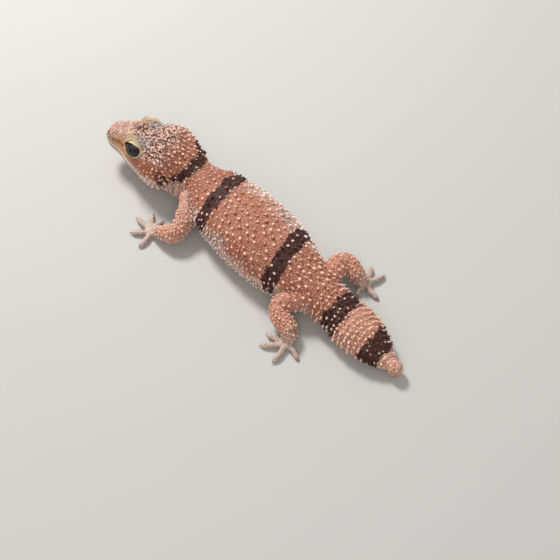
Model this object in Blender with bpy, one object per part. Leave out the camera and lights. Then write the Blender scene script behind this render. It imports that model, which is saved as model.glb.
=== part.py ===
"""Pilbara banded knob-tailed gecko, as a still, life-size model of an adult at rest on flat ground.

The snout points towards -Y and the animal's left side is at +X.  The origin lies on the ground, in the
belly's resting flat under the middle of the trunk.  Shapes are drawn in millimetres and brought to metres
at the end.
"""

import math
import random

import bmesh
import bpy
import numpy as np
from mathutils import Matrix, Vector

METRES = 0.001
GAP = 0.3
SEED = 11
UP = Vector((0.0, 0.0, 1.0))

# Head, neck, trunk and tail: distance along the spine from the snout, then half the width, and the
# heights of the back, of the widest level and of the underside above the ground.
STATIONS = (
    ("snout", 0.0, 3.2, 12.2, 8.9, 6.0),
    ("lores", 6.0, 4.7, 14.5, 8.6, 4.9),
    ("eyes", 13.0, 7.7, 16.6, 8.1, 4.2),
    ("jaw", 21.0, 10.1, 17.4, 7.8, 3.2),
    ("nape", 28.0, 7.2, 14.7, 7.4, 2.6),
    ("neck", 33.0, 5.4, 12.7, 7.0, 2.0),
    ("shoulders", 42.0, 9.5, 14.6, 6.7, 0.9),
    ("chest", 50.0, 11.0, 15.4, 6.4, -0.3),
    ("belly", 60.0, 11.6, 15.8, 6.0, -0.6),
    ("flank", 70.0, 10.7, 14.8, 5.8, -0.6),
    ("loin", 79.0, 8.2, 12.6, 5.5, -0.2),
    ("pelvis", 86.0, 6.4, 10.6, 4.9, 0.4),
    ("tail root", 92.0, 5.9, 9.2, 4.3, 0.1),
    ("tail swell", 100.0, 6.5, 8.9, 3.9, -0.4),
    ("tail taper", 107.0, 5.4, 7.5, 3.4, -0.3),
    ("tail end", 111.6, 3.7, 5.7, 2.9, 0.3),
    ("knob neck", 114.1, 2.0, 4.5, 2.7, 1.0),
)
# The spine's direction: how many degrees it points to the animal's left of straight ahead.
TURNS = (
    (0.0, 15.0),
    (21.0, 17.0),
    (28.0, 8.0),
    (33.0, -1.0),
    (40.0, -7.0),
    (50.0, -3.0),
    (64.0, -4.0),
    (76.0, -1.0),
    (90.0, 0.0),
    (100.0, -5.0),
    (110.0, -3.0),
    (120.0, 4.0),
)
SPINE_STEP = 0.1
ANCHOR_AT = 60.0
ANCHOR_X = 0.2
BACK_POWER = 2.2
BELLY_POWER = 2.4
SNOUT_ROUND = 4.2

# Where the spine run is parted into nodes.
HEAD_END = 29.0
NECK_END = 38.0
TORSO_END = 88.0
TAIL_END = 114.1

# The closed mouth's line runs round the snout at the widest level and fades out behind the eye.
MOUTH_END = 20.5
MOUTH_FADE = 4.0
MOUTH_DEPTH = 0.45
LIP = 0.28
LOWER_LIP_DEPTH = 0.07

# Soft forms: distance from the snout, side, height, spread, then the push sideways and up, and whether the
# form is on the animal's left alone, on the inside of the head's turn.
FORMS = (
    ("brow", 12.0, 4.9, 15.8, 2.4, 0.8, 2.3, False),
    ("dip between the eyes", 13.0, 0.0, 16.6, 2.3, 0.0, -0.9, False),
    ("lores", 7.0, 5.2, 11.2, 2.2, -0.6, -0.1, False),
    ("snout ridge", 6.5, 2.8, 13.8, 2.2, 0.2, 0.5, False),
    ("nostril swelling", 1.9, 2.5, 11.0, 1.2, 0.35, 0.25, False),
    ("cheek", 20.5, 8.6, 10.4, 3.4, 0.4, 0.0, False),
    ("throat folds", 31.2, 5.8, 6.0, 2.8, 2.9, -0.3, True),
)

# The eyeball, the way it looks and the thick rim of the lids in front of it.
EYE_AT = 13.2
EYE_SIDE = 4.2
EYE_HEIGHT = 13.5
EYE_RADIUS = 3.2
EYE_AHEAD = math.radians(3.0)
EYE_UP = math.radians(24.0)
LID_FORWARD = 1.9
LID_RADIUS = 2.85
LID_THICK = 0.5
LID_SIDES = 18
RIM_SIDES = 6
EYE_FINE = (20, 12)

# Places as distance along the spine, side and height; the ear's radii are along, out and up.
NOSTRIL = (2.0, 2.4, 11.5)
NOSTRIL_RADIUS = 0.42
NOSTRIL_FINE = (8, 6)
EAR = (24.1, 9.1, 9.8)
EAR_RADII = (0.7, 1.0, 1.5)
EAR_FINE = (10, 7)

KNOB_RADIUS = 2.3
KNOB_HEIGHT = 2.7
KNOB_OPENING = math.radians(40.0)
KNOB_RINGS = 8
KNOB_SIDES = 12

# How finely the body is drawn: rings along each stretch, then steps down one side above and below the
# widest level.
HEAD_MESH = (20, 9, 4)
NECK_MESH = (7, 9, 4)
TORSO_MESH = (32, 11, 4)
TAIL_MESH = (20, 7, 3)
SNOUT_RINGS = (24.0, 42.0, 60.0, 76.0)

# Tubercles: how wide and how high each stands, and the least inset that their faces keep.
HEAD_STUDS = (0.75, 0.45)
NECK_STUDS = (0.8, 0.55)
TORSO_STUDS = (0.95, 0.7)
TAIL_STUDS = (0.8, 0.8)
LIMB_STUDS = (0.7, 0.45)
HEAD_STUDS_FROM = 14.0
STUD_INSET = 0.08
STUD_CLEAR = 1.6

# How far a limb's bend is rounded, and how many places that averages to each side.
BEND_ROUND = 0.5
BEND_PLACES = 4
RING_STEP = 0.5
LIMB_SIDES = 10
UPPER_RINGS = 7
LOWER_RINGS = 6
BARE_ROOT = 0.45
CUT_REACH = 6.0
CUT_RINGS = 30
CUT_DEPTH = 5.0
SHANK_RINGS = 8
FLOOR_BLOCK = 40.0
SHARP = math.radians(40.0)

# Limbs by side, +1 left and -1 right: root inside the body, elbow or knee, wrist or ankle, middle of the
# palm or sole, then the tips of the five digits from the inner one outwards.
LIMBS = {
    "arm_left": (
        (3.2, -23.6, 7.1),
        (15.3, -17.0, 4.3),
        (17.2, -23.0, 2.7),
        (18.1, -26.2, 0.75),
        ((13.4, -26.7), (13.5, -31.0), (17.9, -33.2), (22.7, -30.2), (24.2, -24.7)),
    ),
    "arm_right": (
        (-3.4, -20.0, 7.4),
        (-11.2, -11.8, 3.4),
        (-10.9, -18.2, 2.6),
        (-10.6, -20.6, 0.75),
        ((-8.4, -24.6), (-10.0, -26.6), (-12.4, -26.0), (-14.2, -23.6), (-14.6, -19.2)),
    ),
    "leg_left": (
        (3.2, 25.0, 6.0),
        (12.9, 18.8, 5.2),
        (14.7, 27.9, 3.3),
        (17.0, 28.9, 0.75),
        ((13.4, 24.2), (18.7, 23.0), (22.6, 24.4), (23.8, 30.5), (18.4, 34.7)),
    ),
    "leg_right": (
        (0.0, 25.0, 6.0),
        (-13.4, 21.0, 5.2),
        (-12.0, 28.2, 3.1),
        (-12.9, 30.0, 0.75),
        ((-14.4, 25.2), (-18.5, 27.7), (-19.1, 32.1), (-12.0, 36.2), (-8.6, 31.6)),
    ),
}
ARM_RADII = (3.6, 3.2, 2.6, 2.7, 2.0)
LEG_RADII = (3.7, 3.4, 2.8, 2.8, 2.5)
PALM_RADIUS = 2.3
PALM_THICK = 0.95
PALM_FINE = (12, 7)
# From wrist to palm: the share of the way, how far the ring is flattened, and how far it narrows in all.
WRIST_RINGS = ((0.35, 0.8), (0.7, 0.55), (1.0, 0.4))
WRIST_NARROWS = 0.25
# Each digit's places as shares of its length, with the radius and the height of its middle there.
DIGIT_PLACES = ((0.12, 0.85, 0.95), (0.55, 0.8, 1.0), (0.9, 0.62, 0.55))
DIGIT_SIDES = 6
CLAW_LENGTH = 1.15
CLAW_RADII = (0.34, 0.24)
CLAW_SIDES = 5
CLAW_RISE = 0.1
CLAW_TIP_HEIGHT = 0.12

SKIN = (0.60, 0.36, 0.27)
PALE_SKIN = (0.55, 0.45, 0.38)
EYE_COLOUR = (0.05, 0.045, 0.035)


def eased(knots, values, at):
    """Values on the smooth curve through the knots, which never overshoots them."""
    knots, values, at = (np.asarray(a, float) for a in (knots, values, at))
    step = np.diff(knots)
    rise = np.diff(values) / step
    slope = np.concatenate([rise[:1], np.zeros(len(knots) - 2), rise[-1:]])
    same = rise[:-1] * rise[1:] > 0
    slope[1:-1][same] = 2 / (1 / rise[:-1][same] + 1 / rise[1:][same])
    k = np.clip(np.searchsorted(knots, at, side="right") - 1, 0, len(step) - 1)
    t = (at - knots[k]) / step[k]
    held = values[k] * (1 + 2 * t) * (1 - t) ** 2 + values[k + 1] * (3 - 2 * t) * t**2
    return held + step[k] * (slope[k] * t * (1 - t) ** 2 - slope[k + 1] * t**2 * (1 - t))


def spine_path():
    """The spine seen from above: distances from the snout, x, y and direction."""
    at = np.arange(0.0, TURNS[-1][0] + SPINE_STEP / 2, SPINE_STEP)
    turn = np.radians(eased(*zip(*TURNS), at))
    x = np.cumsum(-np.sin(turn)) * SPINE_STEP
    y = np.cumsum(np.cos(turn)) * SPINE_STEP
    return at, x - np.interp(ANCHOR_AT, at, x) + ANCHOR_X, y - np.interp(ANCHOR_AT, at, y), turn


SPINE = spine_path()


def spine_frame(s):
    """The spine's place on the ground at a distance from the snout, its left and its forward direction."""
    at, xs, ys, turns = SPINE
    x, y, turn = (float(np.interp(s, at, values)) for values in (xs, ys, turns))
    left = Vector((math.cos(turn), math.sin(turn), 0.0))
    return Vector((x, y, 0.0)), left, Vector((math.sin(turn), -math.cos(turn), 0.0))


def spine_point(s, side, height):
    """A point given along the spine, to the animal's left and above the ground."""
    centre, left, _ = spine_frame(s)
    return centre + left * side + UP * height


def body_shape(s):
    """Half width, top, widest level and underside at a distance from the snout."""
    _, at, *columns = zip(*STATIONS)
    half, top, level, low = (float(eased(at, column, s)) for column in columns)
    if s < SNOUT_ROUND:
        share = math.sqrt(1 - (1 - s / SNOUT_ROUND) ** 2)
        half *= share
        top = level + (top - level) * share
        low = level + (low - level) * share
    return half, top, level, low


def circle(sides):
    """Points of a unit circle that faces along X."""
    turns = [2 * math.pi * k / sides for k in range(sides)]
    return [Vector((0.0, math.cos(a), math.sin(a))) for a in turns]


def arc(power, steps):
    """A quarter of a rounded oblong, as pairs that go from (0, 1) to (1, 0)."""
    angles = [math.pi / 2 * k / steps for k in range(steps + 1)]
    return [(math.sin(a) ** (2 / power), max(0.0, math.cos(a)) ** (2 / power)) for a in angles]


def half_ring(s, ups, downs, grow=0.0):
    """The left half of the body's outline at s, from the back's midline to the underside's."""
    half, top, level, low = body_shape(s)
    half, top, low = half + grow, top + grow, low - grow
    upper = [(half * a, level + (top - level) * b) for a, b in arc(BACK_POWER, ups)]
    lower = [(half * b, level - (level - low) * a) for a, b in arc(BELLY_POWER, downs)]
    return upper + lower[1:]


def with_mouth(s, outline, ups):
    """Adds the closed mouth's line, which fades out behind the eye, to the left half of a head ring."""
    half, _, level, _ = body_shape(s)
    depth = MOUTH_DEPTH * min(1.0, max(0.0, (MOUTH_END - s) / MOUTH_FADE))
    return [
        *outline[:ups],
        (half, level + LIP),
        (half - depth, level),
        (half - min(depth, LOWER_LIP_DEPTH), level - LIP),
        *outline[ups + 1 :],
    ]


def formed(s, side, height):
    """Moves a point of the body by the soft forms near it."""
    for _, at, form_side, form_height, spread, out, up, left_only in FORMS:
        if left_only and side < 0:
            continue
        away = (s - at) ** 2 + (abs(side) - form_side) ** 2 + (height - form_height) ** 2
        weight = math.exp(-away / (2 * spread**2))
        side += math.copysign(out * weight, side) if side else 0.0
        height += up * weight
    return side, height


def whole_ring(s, outline, lowest=0.0):
    """World points of the ring whose left half is given, resting on the ground where it reaches it."""
    right = [(-side, height) for side, height in reversed(outline[1:-1])]
    shaped = [formed(s, *place) for place in outline + right]
    return [spine_point(s, side, max(lowest, height)) for side, height in shaped]


def skinned(rings, start_tip=None, end_tip=None):
    """A closed mesh over the rings, and its side faces by ring and place round the ring."""
    bm = bmesh.new()
    rows = [[bm.verts.new(p) for p in ring] for ring in rings]
    around = len(rings[0])
    faces = {}
    for i in range(len(rows) - 1):
        for j in range(around):
            k = (j + 1) % around
            faces[i, j] = bm.faces.new((rows[i][j], rows[i][k], rows[i + 1][k], rows[i + 1][j]))
    for row, tip in ((rows[0], start_tip), (rows[-1], end_tip)):
        if tip is None:
            bm.faces.new(row)
            continue
        point = bm.verts.new(tip)
        for j in range(around):
            bm.faces.new((row[j], row[(j + 1) % around], point))
    bmesh.ops.recalc_face_normals(bm, faces=bm.faces)
    return bm, faces


def stud(bm, faces, studs):
    """Raises a pointed tubercle in the middle of each of these faces."""
    base, height = studs
    rng = random.Random(SEED)
    for face in faces:
        inset = max(STUD_INSET, (math.sqrt(face.calc_area()) - base) / 2)
        bmesh.ops.inset_individual(bm, faces=[face], thickness=inset, use_even_offset=True)
        bmesh.ops.poke(bm, faces=[face], offset=height * rng.uniform(0.8, 1.2))


def as_object(name, bm):
    """An object of this mesh, still in millimetres."""
    bmesh.ops.triangulate(bm, faces=bm.faces)
    mesh = bpy.data.meshes.new(name)
    bm.to_mesh(mesh)
    bm.free()
    made = bpy.data.objects.new(name, mesh)
    bpy.context.scene.collection.objects.link(made)
    return made


def largest_piece(mesh):
    """Leaves only the mesh's largest closed surface."""
    bm = bmesh.new()
    bm.from_mesh(mesh)
    left = set(bm.verts)
    pieces = []
    while left:
        piece, edge = set(), {left.pop()}
        while edge:
            piece |= edge
            edge = {e.other_vert(v) for v in edge for e in v.link_edges} - piece
        left -= piece
        pieces.append(piece)
    pieces.sort(key=len)
    bmesh.ops.delete(bm, geom=[v for piece in pieces[:-1] for v in piece], context="VERTS")
    bm.to_mesh(mesh)
    bm.free()


def boolean(subject, tools, operation):
    """Joins the tools to the subject, or cuts them from it, and removes them."""
    group = bpy.data.collections.new("tools")
    for tool in tools:
        group.objects.link(tool)
    modifier = subject.modifiers.new(operation.lower(), "BOOLEAN")
    modifier.operation = operation
    modifier.operand_type = "COLLECTION"
    modifier.collection = group
    modifier.solver = "EXACT"
    graph = bpy.context.evaluated_depsgraph_get()
    mesh = bpy.data.meshes.new_from_object(subject.evaluated_get(graph))
    subject.modifiers.clear()
    subject.data = mesh
    for tool in tools:
        bpy.data.objects.remove(tool)
    bpy.data.collections.remove(group)
    largest_piece(mesh)
    return subject


def ball(name, centre, radii, turn, fine):
    """A closed ball or ellipsoid, turned so that its first axis follows the turn given."""
    bm = bmesh.new()
    bmesh.ops.create_uvsphere(bm, u_segments=fine[0], v_segments=fine[1], radius=1.0)
    turn = turn.to_4x4() if turn else Matrix.Identity(4)
    bm.transform(Matrix.Translation(centre) @ turn @ Matrix.Diagonal((*radii, 1.0)))
    return as_object(name, bm)


def axes_along(direction):
    """A turn whose columns are the direction, a level one across it, and the third."""
    ahead = Vector(direction).normalized()
    across = UP.cross(ahead).normalized()
    return Matrix((ahead, across, ahead.cross(across))).transposed()


def eye_frame(sign):
    """The middle of the eyeball on one side, and the turn whose first column is the way it looks."""
    _, left, forward = spine_frame(EYE_AT)
    level = left * sign * math.cos(EYE_AHEAD) + forward * math.sin(EYE_AHEAD)
    gaze = level * math.cos(EYE_UP) + UP * math.sin(EYE_UP)
    return spine_point(EYE_AT, sign * EYE_SIDE, EYE_HEIGHT), axes_along(gaze)


def lid(sign):
    """The thick rim of the lids round one eye, as a closed ring."""
    centre, turn = eye_frame(sign)
    bm = bmesh.new()
    rows = []
    for out in circle(LID_SIDES):
        middle = Vector((LID_FORWARD, 0.0, 0.0)) + out * LID_RADIUS
        rim = [middle + (out * p.y + Vector((p.z, 0.0, 0.0))) * LID_THICK for p in circle(RIM_SIDES)]
        rows.append([bm.verts.new(centre + turn @ p) for p in rim])
    for i, row in enumerate(rows):
        following = rows[(i + 1) % len(rows)]
        for j in range(RIM_SIDES):
            k = (j + 1) % RIM_SIDES
            bm.faces.new((row[j], row[k], following[k], following[j]))
    bmesh.ops.recalc_face_normals(bm, faces=bm.faces)
    return as_object("lid", bm)


def head_openings():
    """Cutters for the eye sockets, nostrils and ears."""
    cutters = []
    for sign in (1, -1):
        centre, turn = eye_frame(sign)
        cutters.append(ball("socket", centre, (EYE_RADIUS + GAP,) * 3, turn, EYE_FINE))
        s, side, height = NOSTRIL
        place = spine_point(s, sign * side, height)
        cutters.append(ball("nostril", place, (NOSTRIL_RADIUS,) * 3, turn, NOSTRIL_FINE))
        s, side, height = EAR
        place = spine_point(s, sign * side, height)
        along, out, up = EAR_RADII
        turn = axes_along(spine_frame(s)[1])
        cutters.append(ball("ear", place, (out, along, up), turn, EAR_FINE))
    return cutters


def head():
    """The head, with its brows, lids, eye sockets, mouth line, nostrils and ear openings."""
    rings, ups, downs = HEAD_MESH
    stops = [SNOUT_ROUND * (1 - math.cos(math.radians(a))) for a in SNOUT_RINGS]
    stops += [SNOUT_ROUND + (HEAD_END - SNOUT_ROUND) * k / rings for k in range(rings + 1)]
    outlines = []
    for s in stops:
        outlines.append(whole_ring(s, with_mouth(s, half_ring(s, ups, downs), ups)))
    _, _, level, _ = body_shape(0.0)
    bm, faces = skinned(outlines, start_tip=spine_point(0.0, 0.0, level))
    around = len(outlines[0])
    chosen = []
    for (i, j), face in faces.items():
        behind_brow = HEAD_STUDS_FROM < stops[i] < stops[-3]
        if behind_brow and min(j, around - 1 - j) < ups - 1 and (i + j) % 2 == 0:
            chosen.append(face)
    stud(bm, chosen, HEAD_STUDS)
    made = as_object("head", bm)
    boolean(made, [lid(1), lid(-1)], "UNION")
    return boolean(made, head_openings(), "DIFFERENCE")


def eye(name, sign):
    """One eyeball."""
    centre, turn = eye_frame(sign)
    return ball(name, centre, (EYE_RADIUS,) * 3, turn, EYE_FINE)


def near_limb(point):
    """Whether a point of the body lies where a limb grows, so that nothing may stand there."""
    for name, (root, bend, *_) in LIMBS.items():
        radii = ARM_RADII if name.startswith("arm") else LEG_RADII
        start, end = Vector(root), Vector(bend)
        along = max(0.0, min(1.0, (point - start).dot(end - start) / (end - start).length_squared))
        if (point - start.lerp(end, along)).length < radii[1] + STUD_CLEAR:
            return True
    return False


def stretch(name, start, end, fine, studs):
    """A stretch of the body with staggered rows of tubercles on its back and sides."""
    rings, ups, downs = fine
    start, end = start + GAP / 2, end - GAP / 2
    stops = [start + (end - start) * k / rings for k in range(rings + 1)]
    outlines = [whole_ring(s, half_ring(s, ups, downs)) for s in stops]
    bm, faces = skinned(outlines)
    around = len(outlines[0])
    chosen = []
    for (i, j), face in faces.items():
        inside = 0 < i < rings - 1 and min(j, around - 1 - j) < ups - 1
        staggered = i % 2 == 0 and (j + i // 2) % 2 == 0
        if inside and staggered and not near_limb(face.calc_center_median()):
            chosen.append(face)
    stud(bm, chosen, studs)
    return as_object(name, bm)


def knob():
    """The small round knob at the tail's tip."""
    middle = TAIL_END + GAP / 2 + KNOB_RADIUS * math.cos(KNOB_OPENING)
    rings = []
    for k in range(KNOB_RINGS):
        a = KNOB_OPENING + (math.pi - KNOB_OPENING) * k / KNOB_RINGS
        s, radius = middle - KNOB_RADIUS * math.cos(a), KNOB_RADIUS * math.sin(a)
        rings.append([spine_point(s, radius * p.y, KNOB_HEIGHT + radius * p.z) for p in circle(KNOB_SIDES)])
    bm, _ = skinned(rings, end_tip=spine_point(middle + KNOB_RADIUS, 0.0, KNOB_HEIGHT))
    return as_object("tail_knob", bm)


def limb_place(joints, t):
    """A place along a limb with its bend rounded: 0 at the root, 1 at the bend, 2 at the wrist or ankle."""
    reach = min(BEND_ROUND, t, 2 - t)
    total = Vector()
    for k in range(-BEND_PLACES, BEND_PLACES + 1):
        at = t + reach * k / BEND_PLACES
        first = min(1, int(at))
        total += joints[first].lerp(joints[first + 1], at - first)
    return total / (2 * BEND_PLACES + 1)


def limb_direction(joints, t):
    """The way a limb runs at this place."""
    step = 0.02
    return (limb_place(joints, min(2.0, t + step)) - limb_place(joints, max(0.0, t - step))).normalized()


def limb_ring(joints, radii, t, shift=0.0):
    """A ring of points round a limb, moved along it by a shift."""
    ahead = limb_direction(joints, t)
    turn = axes_along(ahead)
    radius = float(eased((0.0, 0.5, 1.0, 1.5, 2.0), radii, t))
    centre = limb_place(joints, t) + ahead * shift
    return [centre + turn @ p * radius for p in circle(LIMB_SIDES)]


def limb_length(name, joints, radii, start, end, rings):
    """The upper or lower length of a limb, with small tubercles on its upper and outer side."""
    bend, beyond = limb_place(joints, 1.0), limb_direction(joints, 1.0)
    side = -1 if start < 1 else 1
    outlines = []
    for k in range(rings + 1):
        t = start + (end - start) * k / rings
        shift = GAP / 2 * ((k == 0 and start > 0) - (k == rings))
        ring = limb_ring(joints, radii, t, shift)
        clear = GAP / 2 + RING_STEP * abs(t - 1)
        for p in ring:
            p += beyond * side * max(0.0, clear - side * (p - bend).dot(beyond))
        outlines.append(ring)
    bm, faces = skinned(outlines)
    first = rings * BARE_ROOT if start == 0 else 1
    chosen = [
        face
        for (i, j), face in faces.items()
        if face.normal.z > 0 and first <= i < rings - 1 and (i + j) % 2 == 0
    ]
    stud(bm, chosen, LIMB_STUDS)
    made = as_object(name, bm)
    return boolean(made, [grown_body()], "DIFFERENCE")


def tapered(name, spots, radii, tip, sides):
    """A round piece through these places that closes at its tip."""
    rings = []
    for k, (spot, radius) in enumerate(zip(spots, radii)):
        following = spots[k + 1] if k + 1 < len(spots) else tip
        turn = axes_along(following - spot)
        rings.append([spot + turn @ p * radius for p in circle(sides)])
    bm, _ = skinned(rings, end_tip=tip)
    return as_object(name, bm)


def grown_body():
    """The trunk and its ends grown by the gap, for cutting what grows from it or lies against it."""
    start, end = NECK_END - CUT_REACH, TORSO_END + CUT_REACH
    _, ups, downs = TORSO_MESH
    outlines = []
    for k in range(CUT_RINGS + 1):
        s = start + (end - start) * k / CUT_RINGS
        outlines.append(whole_ring(s, half_ring(s, ups, downs, GAP), -CUT_DEPTH))
    return as_object("body", skinned(outlines)[0])


def digit(centre, tip):
    """One digit and its claw, from the middle of the palm out to a place on the ground."""
    out = Vector((tip[0] - centre.x, tip[1] - centre.y, 0.0))
    spots, radii = [], []
    for share, radius, height in DIGIT_PLACES:
        spots.append(Vector((centre.x, centre.y, height)) + out * share)
        radii.append(radius)
    end = Vector((*tip, spots[-1].z))
    finger = tapered("digit", spots, radii, end, DIGIT_SIDES)
    out.normalize()
    root = end + UP * CLAW_RISE - out * 2 * CLAW_RADII[0]
    point = Vector((root.x, root.y, CLAW_TIP_HEIGHT)) + out * CLAW_LENGTH
    middle = root + out * CLAW_LENGTH / 2
    return [finger, tapered("claw", [root, middle], CLAW_RADII, point, CLAW_SIDES)]


def hand(name, joints, radii, palm, tips):
    """A hand or foot: wrist, palm or sole, five digits and their claws, clear of the body and the floor."""
    start = limb_ring(joints, radii, 2.0, GAP / 2)
    centre = Vector(palm)
    wrist = sum(start, Vector()) / len(start)
    rings = [start]
    for share, flat in WRIST_RINGS:
        middle = wrist.lerp(centre, share)
        ring = [middle + (p - wrist) * (1 - WRIST_NARROWS * share) for p in start]
        for p in ring:
            p.z = middle.z + (p.z - middle.z) * flat
        rings.append(ring)
    base = as_object(name, skinned(rings)[0])
    pieces = [ball("palm", centre, (PALM_RADIUS, PALM_RADIUS, PALM_THICK), None, PALM_FINE)]
    for tip in tips:
        pieces += digit(centre, tip)
    boolean(base, pieces, "UNION")
    floor = bmesh.new()
    bmesh.ops.create_cube(floor, size=FLOOR_BLOCK)
    floor.transform(Matrix.Translation((centre.x, centre.y, -FLOOR_BLOCK / 2)))
    wide = [radius + GAP for radius in radii]
    shank = [limb_ring(joints, wide, 1 + k / SHANK_RINGS) for k in range(SHANK_RINGS)]
    shank.append(limb_ring(joints, wide, 2.0, GAP / 2))
    cutters = [as_object("floor", floor), as_object("shank", skinned(shank)[0]), grown_body()]
    return boolean(base, cutters, "DIFFERENCE")


def limb(name, parts):
    """One limb in three nodes."""
    root, bend, end, palm, tips = LIMBS[name]
    joints = [Vector(p) for p in (root, bend, end)]
    radii = ARM_RADII if name.startswith("arm") else LEG_RADII
    upper, lower, last = (f"{part}_{name.split('_')[1]}" for part in parts)
    return [
        limb_length(upper, joints, radii, 0.0, 1.0, UPPER_RINGS),
        limb_length(lower, joints, radii, 1.0, 2.0, LOWER_RINGS),
        hand(last, joints, radii, palm, tips),
    ]


def material(name, colour, roughness):
    """A plain finish."""
    made = bpy.data.materials.new(name)
    made.use_nodes = True
    shader = made.node_tree.nodes["Principled BSDF"]
    shader.inputs["Base Color"].default_value = (*colour, 1.0)
    shader.inputs["Roughness"].default_value = roughness
    return made


def main():
    for old in list(bpy.data.objects):
        bpy.data.objects.remove(old)
    skin = material("banded_skin", SKIN, 0.75)
    pale = material("pale_digit_skin", PALE_SKIN, 0.7)
    wet = material("eye", EYE_COLOUR, 0.08)
    pieces = [
        (head(), skin),
        (eye("eye_left", 1), wet),
        (eye("eye_right", -1), wet),
        (stretch("neck", HEAD_END, NECK_END, NECK_MESH, NECK_STUDS), skin),
        (stretch("torso", NECK_END, TORSO_END, TORSO_MESH, TORSO_STUDS), skin),
        (stretch("tail", TORSO_END, TAIL_END, TAIL_MESH, TAIL_STUDS), skin),
        (knob(), skin),
    ]
    for name in LIMBS:
        arm = name.startswith("arm")
        parts = ("upper_arm", "forearm", "hand") if arm else ("thigh", "shin", "foot")
        upper, lower, last = limb(name, parts)
        pieces += [(upper, skin), (lower, skin), (last, pale)]
    for made, finish in pieces:
        made.data.transform(Matrix.Scale(METRES, 4))
        made.data.materials.clear()
        made.data.materials.append(finish)
        made.data.shade_smooth()
        made.data.set_sharp_from_angle(angle=SHARP)


main()
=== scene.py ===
"""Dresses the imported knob-tailed gecko: one skin over all its flesh, eyes and lids, lips, claws, pointed
tubercles and fine granules, on a pale floor.

Shapes are worked out in millimetres and brought to metres when their mesh is made. A place on the body is
its distance along the spine from the snout, its distance to the animal's left and its height.
"""

import math

import bmesh
import bpy
import numpy as np
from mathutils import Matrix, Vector, noise
from mathutils.bvhtree import BVHTree
from mathutils.kdtree import KDTree


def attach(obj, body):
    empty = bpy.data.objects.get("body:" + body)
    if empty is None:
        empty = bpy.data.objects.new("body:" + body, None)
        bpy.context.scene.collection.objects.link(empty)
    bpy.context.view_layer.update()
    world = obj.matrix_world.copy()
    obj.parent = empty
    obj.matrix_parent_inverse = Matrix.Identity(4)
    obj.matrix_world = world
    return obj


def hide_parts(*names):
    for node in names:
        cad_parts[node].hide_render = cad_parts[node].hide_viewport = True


bl_info = {
    "name": "Banded knob-tailed gecko",
    "version": (1, 0, 0),
    "blender": (4, 5, 0),
    "location": "View3D > Sidebar > Gecko",
    "description": "Dresses the packed gecko with skin, tubercles, granules, eyes, lids and claws",
    "category": "Object",
}

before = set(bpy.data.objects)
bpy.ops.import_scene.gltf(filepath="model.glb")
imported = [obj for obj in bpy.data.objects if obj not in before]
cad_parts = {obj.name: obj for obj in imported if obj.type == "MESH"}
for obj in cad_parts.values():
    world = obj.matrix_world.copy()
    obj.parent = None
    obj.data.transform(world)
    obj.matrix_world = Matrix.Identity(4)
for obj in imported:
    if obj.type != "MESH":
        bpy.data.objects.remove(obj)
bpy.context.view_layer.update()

METRES = 0.001
SEED = 7

# The solids' own named sizes: distance from the snout, half width, top, widest level, underside.
STATIONS = (
    (0.0, 3.2, 12.2, 8.9, 6.0),
    (6.0, 4.7, 14.5, 8.6, 4.9),
    (13.0, 7.7, 16.6, 8.1, 4.2),
    (21.0, 10.1, 17.4, 7.8, 3.2),
    (28.0, 7.2, 14.7, 7.4, 2.6),
    (33.0, 5.4, 12.7, 7.0, 2.0),
    (42.0, 9.5, 14.6, 6.7, 0.9),
    (50.0, 11.0, 15.4, 6.4, -0.3),
    (60.0, 11.6, 15.8, 6.0, -0.6),
    (70.0, 10.7, 14.8, 5.8, -0.6),
    (79.0, 8.2, 12.6, 5.5, -0.2),
    (86.0, 6.4, 10.6, 4.9, 0.4),
    (92.0, 5.9, 9.2, 4.3, 0.1),
    (100.0, 6.5, 8.9, 3.9, -0.4),
    (107.0, 5.4, 7.5, 3.4, -0.3),
    (111.6, 3.7, 5.7, 2.9, 0.3),
    (114.1, 2.0, 4.5, 2.7, 1.0),
)
# The spine's direction seen from above: the distance from the snout, and the degrees to the animal's left.
TURNS = (
    (0.0, 15.0),
    (21.0, 17.0),
    (28.0, 8.0),
    (33.0, -1.0),
    (40.0, -7.0),
    (50.0, -3.0),
    (64.0, -4.0),
    (76.0, -1.0),
    (90.0, 0.0),
    (100.0, -5.0),
    (110.0, -3.0),
    (120.0, 4.0),
)
SPINE_STEP = 0.1
# The distance from the snout that lies at y = 0, and its x.
ANCHOR_AT = 60.0
ANCHOR_X = 0.2
# How boxy the body's section is over and under its widest level, where 2 is an ellipse.
BACK_POWER = 2.2
BELLY_POWER = 2.4
# How long the snout's rounded front is, where the mouth's line ends and over what length it fades.
SNOUT_ROUND = 4.2
MOUTH_END = 20.5
MOUTH_FADE = 4.0
# Soft forms: place, spread, push sideways and up, and whether it is on the animal's left alone. The first,
# the brow, is lower than the solids' because the skin is drawn over the eyeball there.
FORMS = (
    (12.0, 4.9, 15.8, 2.4, 0.4, 0.9, False),
    (13.0, 0.0, 16.6, 2.3, 0.0, -0.9, False),
    (7.0, 5.2, 11.2, 2.2, -0.6, -0.1, False),
    (6.5, 2.8, 13.8, 2.2, 0.2, 0.5, False),
    (1.9, 2.5, 11.0, 1.2, 0.35, 0.25, False),
    (20.5, 8.6, 10.4, 3.4, 0.4, 0.0, False),
    (31.2, 5.8, 6.0, 2.8, 2.9, -0.3, True),
)
# The eyeball's place and radius, and how far it looks ahead of sideways and up.
EYE_PLACE = (13.2, 4.2, 13.5)
EYE_RADIUS = 3.2
EYE_AHEAD = math.radians(3.0)
EYE_UP = math.radians(24.0)
# How far the skin stands off the eyeball, how much more it does above, how far the lids' outer edge stands
# off, and how much more that does at the upper front.
EYE_COVER = 0.4
BROW_COVER = 0.55
LID_COVER = 0.25
LID_CORNER = 0.45
# How near to an eye's middle the skin is shaped by it, and how near the lids may lie.
EYE_ZONE = 6.5
LID_ZONE = 6.0
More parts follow.
